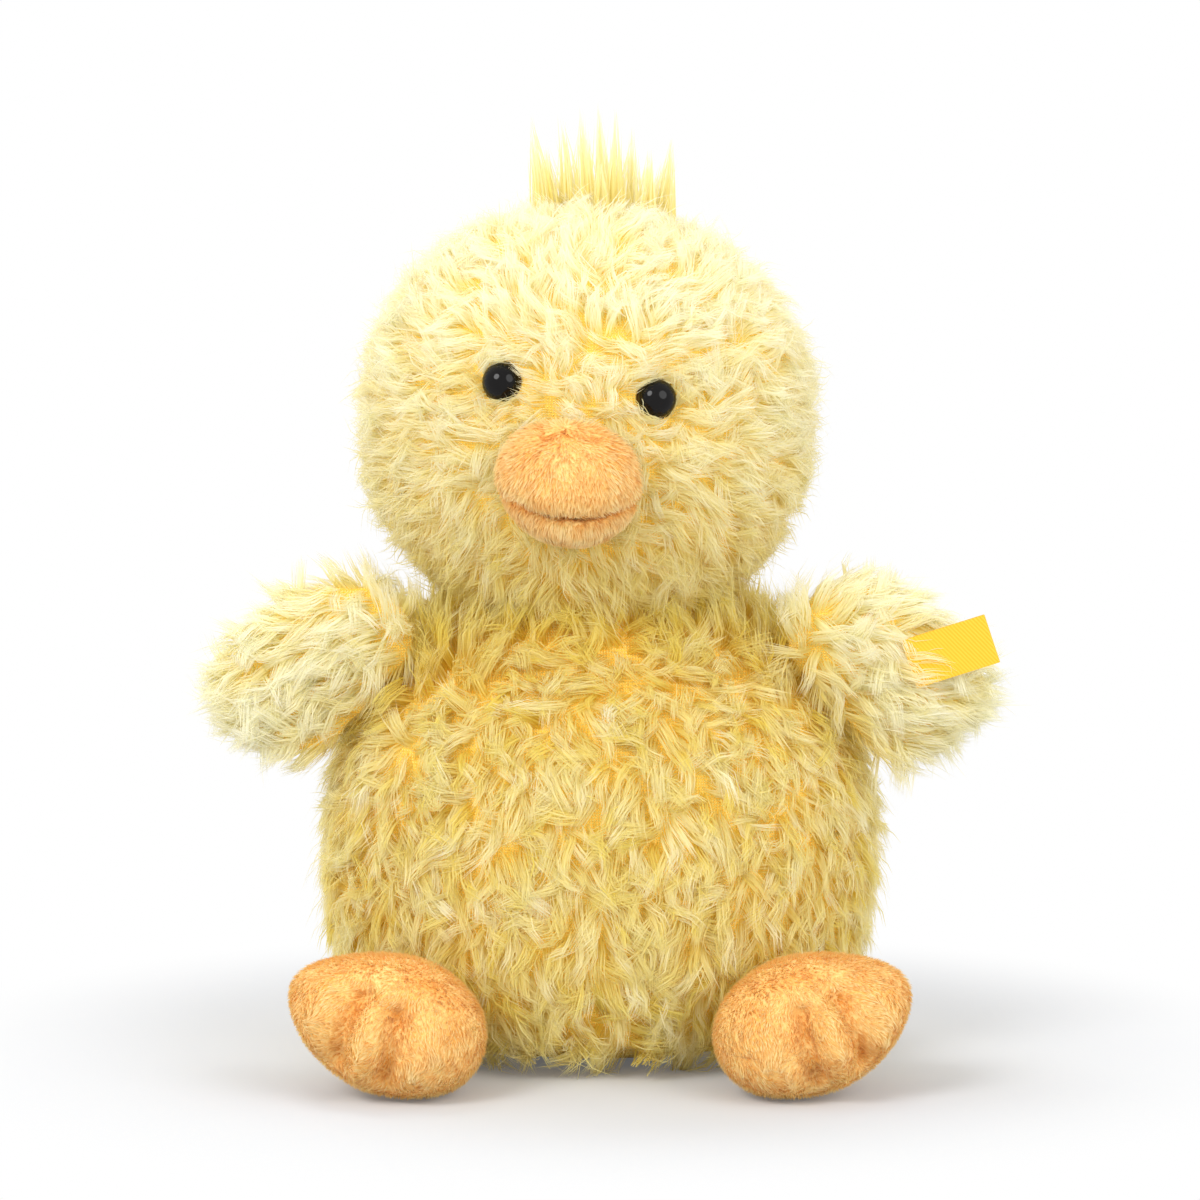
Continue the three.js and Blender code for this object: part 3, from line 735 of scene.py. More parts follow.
# %% [markdown]
# The long pile. On the real cloth thousands of crimped fibres stick together in locks a few
# millimetres apart, and every lock waves its own way. So roots are spread over a form, one in
# twenty-two leads a lock, and the others bend towards their leader as they rise. Hair curves would
# be the usual way, but they don't leave Blender as a mesh, so every strand is a thin strip that lets
# light through, and numpy plants it. Across a lock the strips roll from one side to the other, so
# that the lock catches the light as one round tress.

# %% Strands
STRAND_RADIUS = 0.14
ROLL = math.radians(40)


def strand_template(segments):
    """A flat strand standing on the ground: its points, with heights from 0 to 1, and its faces."""
    strip = bmesh.new()
    bmesh.ops.create_grid(strip, x_segments=1, y_segments=segments, size=0.5)
    tip = [vert for vert in strip.verts if vert.co.y > 0.49]
    bmesh.ops.pointmerge(strip, verts=tip, merge_co=(0, 0.5, 0))
    strip.verts.index_update()
    points = np.array([(2 * vert.co.x, vert.co.y + 0.5) for vert in strip.verts])
    faces = [[vert.index for vert in face.verts] for face in strip.faces]
    strip.free()
    return points, faces


def unit(vectors):
    return vectors / np.maximum(np.linalg.norm(vectors, axis=-1, keepdims=True), 1e-9)


def scatter(form, count, chance):
    """Points spread evenly over a form, with the normals there."""
    mesh = form.data
    mesh.calc_loop_triangles()
    corners = np.empty(len(mesh.loop_triangles) * 3, np.int32)
    mesh.loop_triangles.foreach_get("vertices", corners)
    corners = corners.reshape(-1, 3)
    places = np.empty(len(mesh.vertices) * 3)
    mesh.vertices.foreach_get("co", places)
    normals = np.array([vert.normal for vert in mesh.vertices])
    triangles = places.reshape(-1, 3)[corners]
    areas = np.linalg.norm(np.cross(triangles[:, 1] - triangles[:, 0],
                                    triangles[:, 2] - triangles[:, 0]), axis=1)
    picked = chance.choice(len(areas), count, p=areas / areas.sum())
    first = np.sqrt(chance.random((count, 1)))
    second = chance.random((count, 1))
    shares = np.concatenate([1 - first, first * (1 - second), first * second], axis=1)
    return (np.einsum("nk,nkc->nc", shares, triangles[picked]),
            unit(np.einsum("nk,nkc->nc", shares, normals[corners[picked]])))


def plant(name, body, path, normals, roll, radius, shade, finish):
    """Strands as one mesh. path gives each strand's points from root to tip."""
    count, levels = path.shape[:2]
    points, faces = strand_template(levels - 1)
    height = points[:, 1]
    along = unit(path[:, -1] - path[:, 0])
    flat = unit(np.cross(along, normals))
    upright = np.cross(flat, along)
    sideways = np.cos(roll)[:, None] * flat + np.sin(roll)[:, None] * upright
    half = points[:, 0] * (1 - height ** 3)
    places = path[:, np.rint(height * (levels - 1)).astype(int)]
    places = places + half[None, :, None] * radius[:, None, None] * sideways[:, None]
    corners = np.concatenate(faces)
    loops = (np.arange(count)[:, None] * len(points) + corners[None]).ravel()
    ends = np.cumsum(np.tile([len(face) for face in faces], count))
    mesh = bpy.data.meshes.new(name)
    mesh.vertices.add(count * len(points))
    mesh.vertices.foreach_set("co", places.astype(np.float32).ravel())
    mesh.loops.add(len(loops))
    mesh.loops.foreach_set("vertex_index", loops.astype(np.int32))
    mesh.polygons.add(count * len(faces))
    mesh.polygons.foreach_set("loop_start", np.concatenate([[0], ends[:-1]]).astype(np.int32))
    across = 0.03 + 0.91 * shade[:, None] + 0.02 * points[None, :, 0]
    spots = np.stack([across, np.broadcast_to(0.02 + 0.96 * height, across.shape)], axis=-1).reshape(-1, 2)
    pile_map = mesh.uv_layers.new(name=PILE_MAP)
    pile_map.data.foreach_set("uv", spots[loops].astype(np.float32).ravel())
    mesh.update(calc_edges=True)
    mesh.validate()
    mesh.shade_smooth()
    piece = bpy.data.objects.new(name, mesh)
    piece.data.materials.append(finish)
    scene.collection.objects.link(piece)
    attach(piece, body)
    return piece


print("strand faces", len(strand_template(3)[1]))

# %% [markdown]
# Locks. A coat says how many strands a form gets, how long they are, how far they rise from the
# cloth, how much they wave, how close a lock clings together and how many strands stray from theirs.
# It also says how pale the strands are, where the difference from form to form is painted light, how much
# paler they are painted on top, which is painted light from above, and how much one lock differs from the
# next. Lengths are in millimetres. Blender's noise vectors take their seed from the clock unless they are
# given one, so one is set here, and every run grows the same strands.

# %% Locks
Coat = namedtuple("Coat", "strands length rise wave clump stray shade top_shade lock_shade")
SEED = 7
noise.seed_set(SEED)
STRANDS_TO_A_LOCK = 22
MOST_STRANDS = 38000
LOCK_WIDTH = 1.4
LOCK_ROLL = math.radians(48)
STRAND_SHADE = 0.06
SWIRL_SIZE = 8
LIVELY_SIZE = 5


def groups(leaders, roots):
    """For each root the number of the nearest leader."""
    tree = KDTree(len(leaders))
    for index, place in enumerate(leaders):
        tree.insert(place, index)
    tree.balance()
    return np.array([tree.find(place)[1] for place in roots])


def swirl(places, size_mm, seed):
    """A soft random direction that changes slowly from place to place."""
    offset = Vector((seed * 3.7, seed * 1.9, seed * 5.3))
    return np.array([noise.noise_vector(Vector(place) / (size_mm * MM) + offset) for place in places])


def grow(roots, normals, comb, length_mm, rise_mm, coat, chance, segments=3):
    """Paths of strands in locks, the lock of each strand, and its roll about its own length."""
    leader = chance.choice(len(roots), len(roots) // STRANDS_TO_A_LOCK, replace=False)
    lock = groups(roots[leader], roots)
    lead_root, lead_normal = roots[leader], normals[leader]
    flow = comb[leader] + 1.3 * swirl(lead_root, SWIRL_SIZE, 1) + 0.3 * chance.normal(size=(len(leader), 3))
    flow = unit(flow - (flow * lead_normal).sum(1, keepdims=True) * lead_normal)
    side = np.cross(lead_normal, flow)
    phase = chance.uniform(0, 2 * math.pi, len(leader))
    bend = chance.normal(0, 0.4, len(leader))
    lively = 1 + 0.5 * swirl(lead_root, LIVELY_SIZE, 2)[:, 0] + chance.normal(0, 0.12, len(leader))
    own = chance.uniform(0.72, 1.08, len(roots))
    loose = chance.random(len(roots)) < coat.stray
    reach = (length_mm * own * MM)[:, None]
    rise = (rise_mm * own * lively[lock] * np.where(loose, 1.5, 1.0) * MM)[:, None]
    hold = np.where(loose, 0.1, coat.clump)[:, None]
    drift = chance.normal(0, 1, (len(roots), 3)) * np.where(loose, 0.9, 0.36)[:, None] * MM
    levels = []
    for t in np.linspace(0, 1, segments + 1):
        up = rise * (1.75 * t - 0.75 * t * t)
        out = reach * (0.55 * t + 0.45 * t * t) * 0.86
        wave = (np.sin(phase + 4.6 * t) - np.sin(phase)) * coat.wave * MM * t + bend * reach.mean() * t * t
        spot = roots + up * normals + out * flow[lock] + wave[lock][:, None] * side[lock]
        spot += hold * t ** 1.3 * (lead_root[lock] - roots)
        levels.append(spot + drift * t)
    beside = ((roots - lead_root[lock]) * side[lock]).sum(1) / (LOCK_WIDTH * MM)
    roll = LOCK_ROLL * np.clip(beside, -1, 1) + chance.normal(0, 0.2, len(roots))
    return np.stack(levels, axis=1), lock, roll


def own_shades(coat, normals, lock, chance):
    """How pale each strand is: its coat's paleness, painted paler on top for the light from above, and a
    tone of its own by lock and by strand.
    """
    by_lock = chance.normal(0, coat.lock_shade, lock.max() + 1)[lock]
    by_strand = chance.normal(0, STRAND_SHADE, len(lock))
    return coat.shade + coat.top_shade * normals[:, 2] + by_lock + by_strand


def plant_all(name, body, path, normals, roll, radius, shade, order):
    """Strands of the long pile in a few pieces of equal size, split by order."""
    pieces = np.array_split(np.argsort(order), math.ceil(len(order) / MOST_STRANDS))
    for index, chosen in enumerate(pieces):
        plant(f"{name}_{index + 1}", body, path[chosen], normals[chosen], roll[chosen],
              radius[chosen], shade[chosen], long_pile)
    print(name, len(path), "strands in", len(pieces), "pieces")


# %% [markdown]
# Where the pile grows. It leaves out the seat, the ball of the neck, the eyes, and whatever is sewn
# on: wings, feet and beak press the pile flat there. Close to these it turns golden, because light
# reaches the bottom of a crease only through other fibres.

# %% Places without pile, and creases
FAR = 25
trees = {form.name: form_tree(form) for form in all_forms}


def gap_to(form, places):
    """How far each place is outside a form. Inside it the distance is negative."""
    low, high = np.array(form.bound_box).min(0), np.array(form.bound_box).max(0)
    beside = np.maximum(np.maximum(low - places, places - high), 0).max(1)
    gaps = np.maximum(beside, FAR * MM)
    for index in np.flatnonzero(beside < FAR * MM):
        place = Vector(places[index])
        near, normal, _, far = trees[form.name].find_nearest(place)
        gaps[index] = far if (place - near).dot(normal) > 0 else -far
    return gaps


def least_gap(forms, places):
    return np.min([gap_to(form, places) for form in forms], axis=0)


def from_point(point, places):
    return np.linalg.norm(places - np.array(point), axis=1)


def near_to(gaps, width_mm):
    """1 at a gap of nothing, and falling off over a width."""
    return np.exp(-(np.maximum(gaps, 0) / (width_mm * MM)) ** 2)


# %% [markdown]
# The body's pile is combed down and towards the middle of the belly. At the shoulders and under the
# head it is brushed up, so that it closes the corners there, and at the hem in front it is longer and
# reaches forward. Under the head less light gets in, so it is more golden there.

# %% Pile of the body
# Painted light: the body's pile is painted deeper than the head's, as less light reaches the belly, and it
# is painted paler on top.
BODY = Coat(strands=120000, length=9.5, rise=4.2, wave=1.5, clump=0.45, stray=0.05,
            shade=0.42, top_shade=0.15, lock_shade=0.2)
FLOOR_GAP = 0.4
LIMB_GAP = 1.2
NECK_GAP = 0.5
SEAT_SLOPE = -0.75
SEAT_HEIGHT = 6
SHOULDER_HEIGHT = 82
HEM_HEIGHT = 16
chance = np.random.default_rng(SEED)
roots, normals = scatter(body_form, BODY.strands, chance)
limb_gap = least_gap([*wing_forms.values(), *foot_forms.values()], roots)
neck_gap = from_point(neck_centre, roots) - neck_radius
above_seat = (normals[:, 2] > SEAT_SLOPE) | (roots[:, 2] > SEAT_HEIGHT * MM)
kept = (limb_gap > LIMB_GAP * MM) & (neck_gap > NECK_GAP * MM) & above_seat
roots, normals, limb_gap, neck_gap = (values[kept] for values in (roots, normals, limb_gap, neck_gap))

shoulder = near_to(limb_gap, 16) * np.clip((roots[:, 2] - SHOULDER_HEIGHT * MM) / (10 * MM), 0, 1)
hem = np.clip(1 - roots[:, 2] / (HEM_HEIGHT * MM), 0, 1) * (normals[:, 1] < 0)
by_limb, by_neck = near_to(limb_gap, 7), near_to(neck_gap, 9)
comb = np.zeros_like(roots)
comb[:, 0] = np.where(normals[:, 1] < 0, -6.0 * roots[:, 0], 0.0)
comb[:, 1] -= 1.2 * hem
comb[:, 2] = -0.75 + 1.9 * by_neck + 2.6 * shoulder
length = BODY.length * (1 - 0.3 * by_limb) + 3 * hem
rise = BODY.rise * (1 - 0.3 * by_limb) + 1.5 * by_neck + 8.5 * shoulder + 1.5 * hem
path, lock, roll = grow(roots, normals, comb, length, rise, BODY, chance)
path[:, :, 2] = np.maximum(path[:, :, 2], FLOOR_GAP * MM)

crease = np.clip(near_to(limb_gap, 6) + 0.4 * near_to(neck_gap, 5), 0, 1)
shade = own_shades(BODY, normals, lock, chance)
shade = np.clip(shade - 0.75 * crease - 0.4 * near_to(neck_gap, 22), 0, 1)
radius = chance.uniform(0.8, 1.15, len(roots)) * STRAND_RADIUS * MM
around = np.arctan2(roots[:, 0], -roots[:, 1])
plant_all("body_pile", "torso", path, normals, roll, radius, shade, around)

# %% [markdown]
# The eyes' shapes. The head's pile has to know where the eyes are, so their axes and the sizes of
# their domes are measured first, from the CAD nodes of the eyes and of the washers behind them.

# %% Shapes of the eyes
class EyeShape:
    """The axis of an eye, and its radius and heights along the axis, from its washer outwards."""

    def __init__(self, side):
        spots = np.array([vert.co for vert in nodes[f"eye_{side}"].data.vertices])
        washer = np.array([vert.co for vert in nodes[f"eye_washer_{side}"].data.vertices])
        self.centre = Vector(washer.mean(0))
        self.axis = (Vector(spots.mean(0)) - self.centre).normalized()
        from_centre = spots - np.array(self.centre)
        heights = from_centre @ np.array(self.axis)
        radii = np.linalg.norm(from_centre - heights[:, None] * np.array(self.axis), axis=1)
        self.rim = radii.max()
        self.rim_height = heights[radii > self.rim - 0.05 * MM].mean()
        self.top = heights.max()
        self.bottom = heights.min()
        self.seat = self.centre + self.axis * self.rim_height


eyes = {side: EyeShape(side) for side in SIDES}
print("eyes", [round(eye.rim / MM, 2) for eye in eyes.values()], "mm in radius")

# %% [markdown]
# The head's pile is a little finer and shorter, and it is painted paler, a painted light, as more light
# falls on the head than on the body. It starts at the beak and is brushed away from it on all sides. It
# parts over the seam in the middle of the forehead, and it is clipped short round the eyes and the beak so
# that they show. Round the eyes and the beak and towards the neck it is painted darker, a painted shade.

# %% Pile of the head
HEAD = Coat(strands=96000, length=8.2, rise=4.0, wave=1.2, clump=0.42, stray=0.1,
            shade=0.8, top_shade=0.35, lock_shade=0.12)
EYE_OVERLAP = 0.7
EYE_DEPTH = 4
BEAK_GAP = 0.6


def over_eye(path, eye):
    """How far each strand stays outside an eye's rim, seen along the eye. Its root may lie under it."""
    from_eye = path[:, 1:] - np.array(eye.seat)
    along = from_eye @ np.array(eye.axis)
    across = np.linalg.norm(from_eye - along[..., None] * np.array(eye.axis), axis=-1)
    return np.where(along > -EYE_DEPTH * MM, across - eye.rim, 1.0).min(axis=1)


roots, normals = scatter(head_form, HEAD.strands, chance)
beak_middle = np.array(middle_of("beak_upper_cover", "beak_lower_cover"))
beak_gap = least_gap(beak_forms.values(), roots)
eye_gap = np.min([from_point(eye.seat, roots) - eye.rim for eye in eyes.values()], axis=0)
neck_gap = from_point(neck_centre, roots) - neck_radius
kept = (beak_gap > BEAK_GAP * MM) & (neck_gap > NECK_GAP * MM)
roots, normals, beak_gap, eye_gap, neck_gap = (values[kept] for values in
                                               (roots, normals, beak_gap, eye_gap, neck_gap))

comb = 0.9 * unit(roots - beak_middle)
comb[:, 2] -= 0.35
middle_gap = (roots - np.array(face_middle)) @ np.array(face_across)
parting = np.sign(middle_gap) * 0.15 * near_to(np.abs(middle_gap), 9)
comb += parting[:, None] * np.array(face_across)
clip = 1 - 0.5 * near_to(beak_gap, 6) - 0.25 * near_to(eye_gap, 4)
length = HEAD.length * clip + 2.5 * near_to(neck_gap, 9)
path, lock, roll = grow(roots, normals, comb, length, HEAD.rise * clip, HEAD, chance)

# Painted shade: darker close to the neck, the beak and the eyes, and lower down towards the neck.
crease = 0.4 * near_to(neck_gap, 5) + 0.7 * near_to(beak_gap, 3) + 0.3 * near_to(eye_gap, 4)
shade = own_shades(HEAD, normals, lock, chance)
shade = np.clip(shade - 0.7 * np.clip(crease, 0, 1) - 0.2 * near_to(neck_gap, 20), 0, 1)
radius = chance.uniform(0.75, 1.1, len(roots)) * 0.9 * STRAND_RADIUS * MM
around = np.arctan2(roots[:, 0] - neck_centre.x, -roots[:, 1])
shown = np.min([over_eye(path, eye) for eye in eyes.values()], axis=0) > -EYE_OVERLAP * MM
plant_all("head_pile", "head", *(values[shown] for values in (path, normals, roll, radius, shade, around)))

# %% [markdown]
# The wings carry the longest pile, combed from the seam at the body to the tip, where it hangs over
# the edge a little.

# %% Pile of the wings
WING = Coat(strands=9500, length=11.0, rise=3.9, wave=1.4, clump=0.5, stray=0.06,
            shade=0.9, top_shade=0.0, lock_shade=0.12)
WING_GAP = 0.8
WING_SHOULDER = 92
for side, outwards in (("left", 1), ("right", -1)):
    roots, normals = scatter(wing_forms[side], WING.strands, chance)
    body_gap = gap_to(body_form, roots)
    kept = body_gap > WING_GAP * MM
    roots, normals, body_gap = roots[kept], normals[kept], body_gap[kept]
    shoulder = near_to(body_gap, 12) * np.clip((roots[:, 2] - WING_SHOULDER * MM) / (8 * MM), 0, 1)
    comb = np.zeros_like(roots)
    comb[:, 0] = outwards * (1 - 1.7 * shoulder)
    comb[:, 2] = -0.45 + 1.9 * shoulder
    pressed = 1 - 0.3 * near_to(body_gap, 5)
    rise = WING.rise * pressed + 5.5 * shoulder
    path, lock, roll = grow(roots, normals, comb, WING.length * pressed, rise, WING, chance)
    # Painted light: the wing's pile is painted pale, for the light on the wings, and darker close to the
    # body, a painted shade in the crease.
    shade = own_shades(WING, normals, lock, chance)
    shade = np.clip(shade - 0.9 * near_to(body_gap, 8), 0, 1)
    radius = chance.uniform(0.8, 1.15, len(roots)) * STRAND_RADIUS * MM
    plant_all(f"wing_{side}_pile", f"wing_{side}", path, normals, roll, radius, shade, roots[:, 1])

# %% [markdown]
# The short peach pile of the beak and feet stands a millimetre or so high and lies in streaks, as velvet
# does after a stroke of the hand. It fans out over the beak from the place where the cloth is gathered
# between the eyes, and runs from the ankle over the toes. In the toe grooves, where a foot meets the body,
# at the mouth, round the edge of the beak and in its gathers it is painted a deep orange, a painted shade,
# and along the sole's seam it is a little darker.

# %% Pile of the beak and feet
BEAK_STRANDS = 9000
FOOT_STRANDS = 20000
SHORT_RADIUS = 0.17
SHORT_RISE = 0.75
SHORT_LEAN = 1.15
ROW_PITCH = 1.4


def short_coat(name, body, form, count, centre, pale, kept_if):
    """Short strands in rows over a form, brushed away from a centre. pale gives how pale they are."""
    roots, normals = scatter(form, count, chance)
    kept = kept_if(roots)
    roots, normals = roots[kept], normals[kept]
    wander = swirl(roots, 5, 3)
    comb = unit(roots - np.array(centre)) + 0.6 * wander
    comb = unit(comb - (comb * normals).sum(1, keepdims=True) * normals)
    rows = np.sin(2 * math.pi * from_point(centre, roots) / (ROW_PITCH * MM) + 5 * wander[:, 0])
    streak = swirl(roots, 3.0, 4)[:, 0]
    own = chance.uniform(0.9, 1.5, len(roots))[:, None] * MM
    path = np.stack([roots, roots + own * (SHORT_RISE * normals + SHORT_LEAN * comb)], axis=1)
    shade = pale(roots) + 0.14 * rows + 0.4 * streak + chance.normal(0, 0.08, len(roots))
    radius = chance.uniform(0.8, 1.2, len(roots)) * SHORT_RADIUS * MM
    roll = chance.uniform(-ROLL, ROLL, len(roots))
    print(name, len(roots), "strands")
    return plant(name, body, path, normals, roll, radius, np.clip(shade, 0, 1),
                 short_pile)


def far_from(form, least_mm):
    return lambda places: gap_to(form, places) > least_mm * MM


def from_all(measure, places):
    return np.array([measure(Vector(place)) for place in places])


gather = Vector(beak_middle) + UP * 12 * MM
for half, other in zip(HALVES, reversed(HALVES)):
    def beak_pale(places, other=beak_forms[other]):
        # Painted shade: deeper at the mouth, round the edge of the beak and in its gathers.
        mouth = near_to(gap_to(other, places), 1.1)
        rim = near_to(gap_to(head_form, places), 3.5)
        gather_shade = near_to(from_all(dimple_gap, places), 2.2)
        return 0.66 - 0.5 * mouth - 0.6 * rim - 0.7 * gather_shade

    short_coat(f"beak_{half}_pile", "head", beak_forms[half], BEAK_STRANDS, gather, beak_pale,
               far_from(head_form, -0.5))
for side in SIDES:
    ankle = middle_of(f"foot_{side}_upper_cover")
    ankle = Vector((ankle.x * 0.8, ankle.y + 20 * MM, ankle.z + 8 * MM))

    def foot_pale(places, measure=toe_grooves(side), height=sole_seams[side].z, heel=ankle.y):
        # Painted shade: deeper in the toe grooves and where the foot meets the body.
        grooves = near_to(from_all(measure, places), 2.4)
        seam = near_to(np.abs(places[:, 2] - height), 0.9)
        joint_shade = near_to(gap_to(body_form, places), 5)
        toes = np.clip((heel - places[:, 1]) / (30 * MM), 0, 1)
        return 0.38 + 0.4 * toes - 0.6 * grooves - 0.15 * seam - 0.4 * joint_shade

    short_coat(f"foot_{side}_pile", f"foot_{side}", foot_forms[side], FOOT_STRANDS, ankle, foot_pale,
               far_from(body_form, 0.3))

# %% [markdown]
# The tuft: a few bunches of long straight fibres that were left unclipped in the crown seam. They
# stand up, lean apart a little and end at different heights. Each bunch is given by where its tip is:
# how far across, how high and how far back, in millimetres.

# %% Tuft
TUFT_STRANDS = 46
TUFTS = ((-15.8, 217.0, -1.5), (-12.5, 210.0, 2.0), (-9.0, 217.0, 0.5), (-4.5, 219.0, -1.0),
         (-0.5, 220.5, 1.5), (3.5, 219.0, -0.5), (7.5, 214.5, 1.5), (11.5, 209.5, -1.5),
         (16.5, 212.0, 0.5), (0.0, 208.0, -3.0), (-15.0, 207.0, 1.0), (14.5, 206.5, 2.5))
TUFT_LEAN = 0.86
tuft_middle = middle_of("crown_tuft")
head_tree = trees[head_form.name]
paths = []
for across, top, deep in TUFTS:
    tip = Vector((across * MM, tuft_middle.y + deep * MM, top * MM))
    foot_x = tuft_middle.x + TUFT_LEAN * (tip.x - tuft_middle.x)
    for _ in range(TUFT_STRANDS):
        spread = chance.normal(0, 1, 3)
        start = Vector((foot_x + 1.5 * MM * spread[0], tip.y + 1.7 * MM * spread[1], top * MM))
        root = head_tree.ray_cast(start, -UP)[0]
        own = chance.uniform(0.55, 1.0)
        end = root.lerp(tip, own)
        end += Vector(chance.normal(0, 1, 3)) * 0.75 * MM * (1.4 - own)
        middle = root.lerp(end, 0.5) + Vector((root.x - end.x, 0, 0)) * 0.12
        paths.append([root, root.lerp(middle, 0.9), middle.lerp(end, 0.35), end])
paths = np.array(paths)
facing = np.tile([0.0, -1.0, 0.0], (len(paths), 1))
roll = chance.uniform(-ROLL, ROLL, len(paths))
radius = chance.uniform(0.12, 0.2, len(paths)) * MM
shade = chance.uniform(0.4, 0.8, len(paths))
tuft = plant("crown_tuft_pile", "head", paths, facing, roll, radius, shade, long_pile)
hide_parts("crown_tuft")
print("tuft of", len(paths), "strands")

# %% [markdown]
# The eyes are domes of moulded black plastic with a brown rim, pushed through the cloth on a shank
# and locked by a washer from behind. A dome is round, so its outline is spun about the axis.

# %% Eyes
def plastic(name, colour, roughness):
    finish = new_finish(name)
    place = object_place(finish)
    wear = finish.node("ShaderNodeTexNoise", None, {"Vector": place, "Scale": 900.0, "Detail": 2.0})
    shader = finish.node("ShaderNodeBsdfPrincipled", None,
                         {"Base Color": colour, "Roughness": roughness + 0.06 * wear,
                          "Specular IOR Level": 0.2})
    return finish.surface(shader)


eye_black = plastic("eye_black", paint(9, 7, 7), 0.05)
eye_brown = plastic("eye_brown", paint(58, 34, 18), 0.2)
washer_white = plastic("washer_white", paint(233, 231, 225), 0.4)
DOME_STEPS = 14
SPIN_STEPS = 40


def spin_profile(name, profile, centre, axis, finish):
    """Turns an outline, given as (radius, height) pairs, round an axis."""
    turn = axis.to_track_quat("Z", "Y").to_matrix().to_4x4()
    shape = bmesh.new()
    verts = [shape.verts.new((radius, 0, height)) for radius, height in profile]
    edges = [shape.edges.new(pair) for pair in zip(verts, verts[1:])]
    bmesh.ops.spin(shape, geom=verts + edges, cent=(0, 0, 0), axis=(0, 0, 1), angle=2 * math.pi,
                   steps=SPIN_STEPS, use_merge=True)
    bmesh.ops.remove_doubles(shape, verts=shape.verts, dist=1e-7)
    bmesh.ops.recalc_face_normals(shape, faces=shape.faces)
    bmesh.ops.transform(shape, matrix=Matrix.Translation(centre) @ turn, verts=shape.verts)
    return new_piece(name, shape, finish)


SHANK = 1.9 * MM
DOME_EDGE = 0.96
for side, shape in eyes.items():
    rim, height = shape.rim, shape.rim_height
    shank = [(0, shape.bottom), (SHANK, shape.bottom), (SHANK, height - 0.7 * MM)]
    flange = [(rim, height - 0.6 * MM), (rim * 1.02, height - 0.2 * MM), (rim * DOME_EDGE, height)]
    turns = [math.pi / 2 * step / DOME_STEPS for step in range(1, DOME_STEPS + 1)]
    dome = [(rim * DOME_EDGE * math.cos(turn), height + (shape.top - height) * math.sin(turn))
            for turn in turns]
    eye = spin_profile(f"eye_{side}_dome", shank + flange + dome, shape.centre, shape.axis, eye_black)
    eye.data.materials.append(eye_brown)
    for face in eye.data.polygons:
        level = (face.center - shape.centre).dot(shape.axis)
        face.material_index = 1 if height - 0.65 * MM < level < height + 0.02 * MM else 0
    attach(eye, "head")
    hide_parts(f"eye_{side}")
    washer = nodes[f"eye_washer_{side}"].data
    washer.materials.clear()
    washer.materials.append(washer_white)
print("eyes of", len(eye.data.polygons), "faces each")

# %% [markdown]
# The label is a ribbon in a flat satin weave, folded double round its outer end and sewn into the
# wing with both ends. It is bare. The fold is a line of points that is pulled out to the ribbon's
# width.

# %% Label
def ribbon_finish():
    finish = new_finish("ribbon_weave")
    place = object_place(finish)
    weave = finish.node("ShaderNodeTexWave", {"bands_direction": "DIAGONAL"},
                        {"Vector": place, "Scale": 700.0, "Distortion": 0.6})
    colour = finish.node("ShaderNodeValToRGB",
                         {"stops": [(0.0, paint(240, 182, 34)), (1.0, paint(250, 202, 62))]}, {0: weave})
    bump = finish.node("ShaderNodeBump", None,
                       {"Height": weave, "Distance": 0.05 * MM, "Strength": 0.4})
    shader = finish.node("ShaderNodeBsdfPrincipled", None,
                         {"Base Color": colour, "Roughness": 0.55, "Specular IOR Level": 0.3,
                          "Normal": bump})
    return finish.surface(shader)


RIBBON = 0.42
FOLD_STEPS = 12
tab_points = np.array([vert.co for vert in nodes["label_tab"].data.vertices])
tab_ways = np.linalg.svd(tab_points - tab_points.mean(0), full_matrices=False)[2]
tab_ways[0] *= np.sign(tab_ways[0][0])
long_way, wide_way, thin_way = tab_ways
least, most = (tab_points @ tab_ways.T).min(0), (tab_points @ tab_ways.T).max(0)
tab_middle = (least + most) / 2 @ tab_ways
half_long, half_wide, half_thin = (most - least) / 2
middle_line = half_thin - RIBBON * MM / 2
fold = [(-half_long, middle_line)]
for step in range(FOLD_STEPS + 1):
    turn = math.pi / 2 - math.pi * step / FOLD_STEPS
    fold.append((half_long - half_thin + middle_line * math.cos(turn), middle_line * math.sin(turn)))
fold.append((-half_long, -middle_line))
strip = bmesh.new()
edge_middle = tab_middle - wide_way * half_wide
first = [strip.verts.new(edge_middle + long_way * along + thin_way * up) for along, up in fold]
edges = [strip.edges.new(pair) for pair in zip(first, first[1:])]
pulled = bmesh.ops.extrude_edge_only(strip, edges=edges)["geom"]
pulled = [item for item in pulled if isinstance(item, bmesh.types.BMVert)]
bmesh.ops.translate(strip, verts=pulled, vec=Vector(2 * half_wide * wide_way))
bmesh.ops.recalc_face_normals(strip, faces=strip.faces)
bmesh.ops.solidify(strip, geom=strip.faces[:], thickness=RIBBON * MM / 2)
label = new_piece("label_ribbon", strip, ribbon_finish())
label.data.shade_flat()
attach(label, "tab")
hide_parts("label_tab")
flat_length = 4 * half_long - 2 * half_thin + math.pi * middle_line

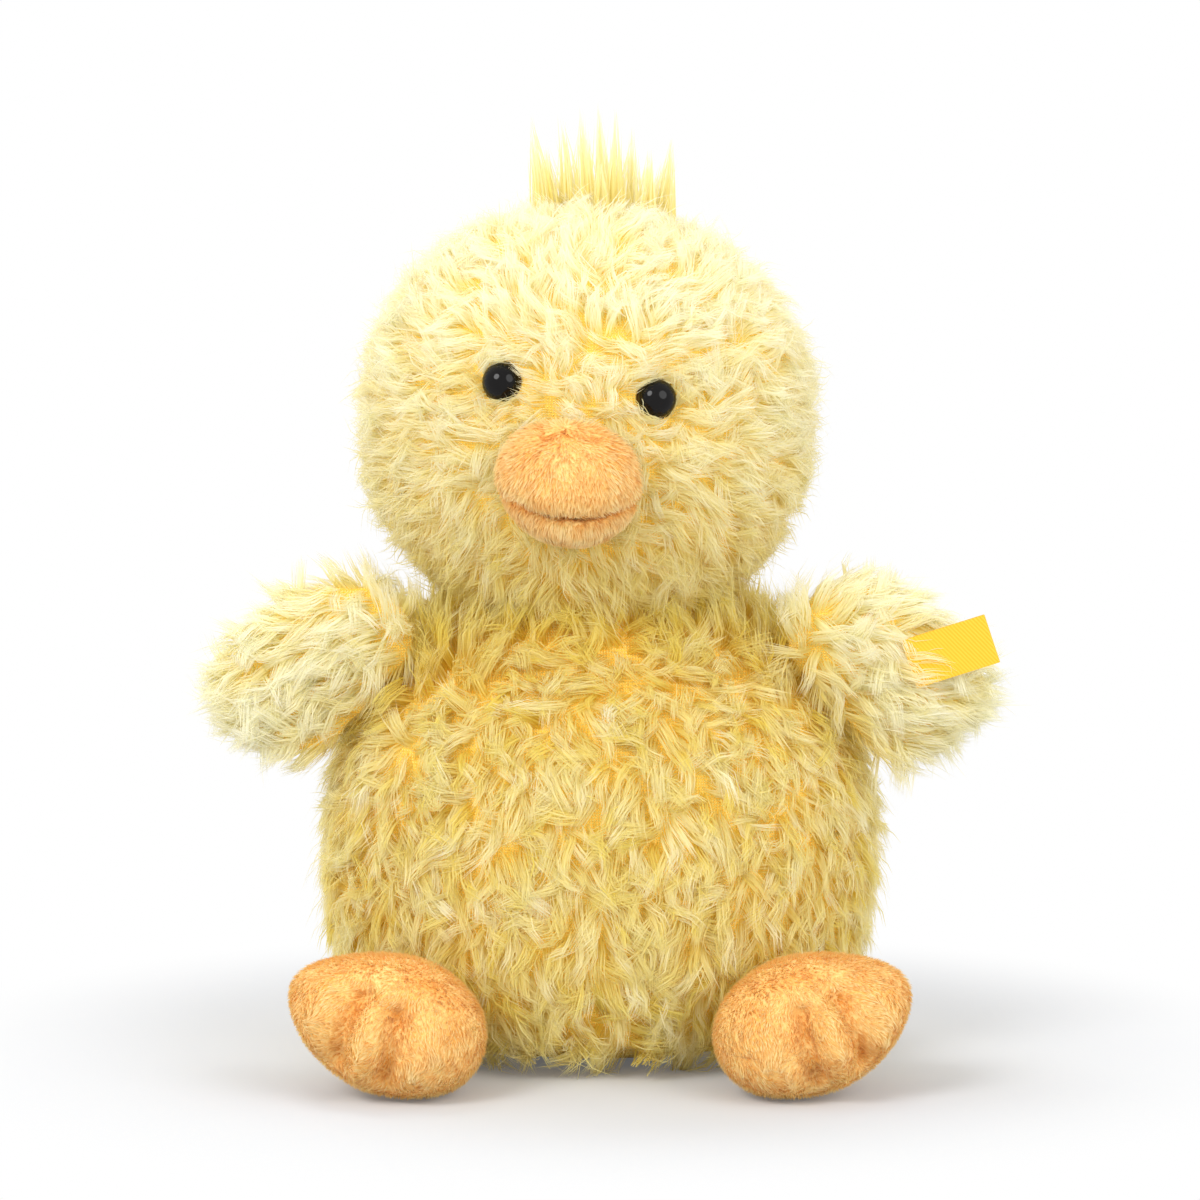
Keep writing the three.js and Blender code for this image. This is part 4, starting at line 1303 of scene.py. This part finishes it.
# %% [markdown]
# Thread and filling. The toe threads and the gathering thread of the neck are round and twisted, and
# the toe threads lie at the bottom of their grooves. The filling is loose fibre: soft lumps that
# don't show, rounded from the CAD solids and a little smaller, so that no lump comes through a cover.

# %% Threads, filling and pellet bag
LUMP_SIZE = 9
FOOT_ROOM = 4.5
THREAD_DEPTH = 0.7


def softened(node, name, finish, rounds, shrink_mm, lump_mm):
    """A rounded copy of a CAD node that stands in for it."""
    shape = bmesh.new()
    shape.from_mesh(nodes[node].data)
    bmesh.ops.remove_doubles(shape, verts=shape.verts, dist=1e-6)
    for _ in range(rounds):
        bmesh.ops.subdivide_edges(shape, edges=shape.edges[:], cuts=1, use_grid_fill=True)
        bmesh.ops.smooth_vert(shape, verts=shape.verts, factor=0.5,
                              use_axis_x=True, use_axis_y=True, use_axis_z=True)
    shape.normal_update()
    lumps = [lump_mm * noise.noise(vert.co / (LUMP_SIZE * MM)) for vert in shape.verts]
    moves = [vert.normal * MM * (lump - shrink_mm) for vert, lump in zip(shape.verts, lumps)]
    for vert, move in zip(shape.verts, moves):
        vert.co += move
    piece = new_piece(name, shape, finish)
    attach(piece, body_of(nodes[node])[0])
    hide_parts(node)
    return piece


for node in [name for name in nodes if name.endswith("_stuffing")]:
    cover = pile_backing if node == "neck_stuffing" else fibre_fill
    lumps = 0.0 if node == "neck_stuffing" else 0.5
    depth = FOOT_ROOM if node.startswith("foot") else 3 * lumps
    fibre = softened(node, node.replace("stuffing", "fibre"), cover, 1, depth, lumps)
pouch = softened("pellet_bag", "pellet_pouch", pellet_cloth, 2, 0.4, 0.3)
for node in [name for name in nodes if "toe_stitch" in name]:
    thread = softened(node, node.replace("stitch", "thread"), thread_twist, 1, 0.0, 0.0)
    foot = foot_forms["left" if "left" in node else "right"]
    middle = Vector(np.mean([vert.co for vert in thread.data.vertices], axis=0))
    groove, outwards = trees[foot.name].find_nearest(middle)[:2]
    thread.data.transform(Matrix.Translation(groove - outwards * THREAD_DEPTH * MM - middle))
softened("neck_thread", "neck_gathering", thread_twist, 1, 0.0, 0.0)
print("inside pieces done")

# %% [markdown]
# Closing.

# %% Finish
for form in all_forms:
    bpy.data.objects.remove(form)
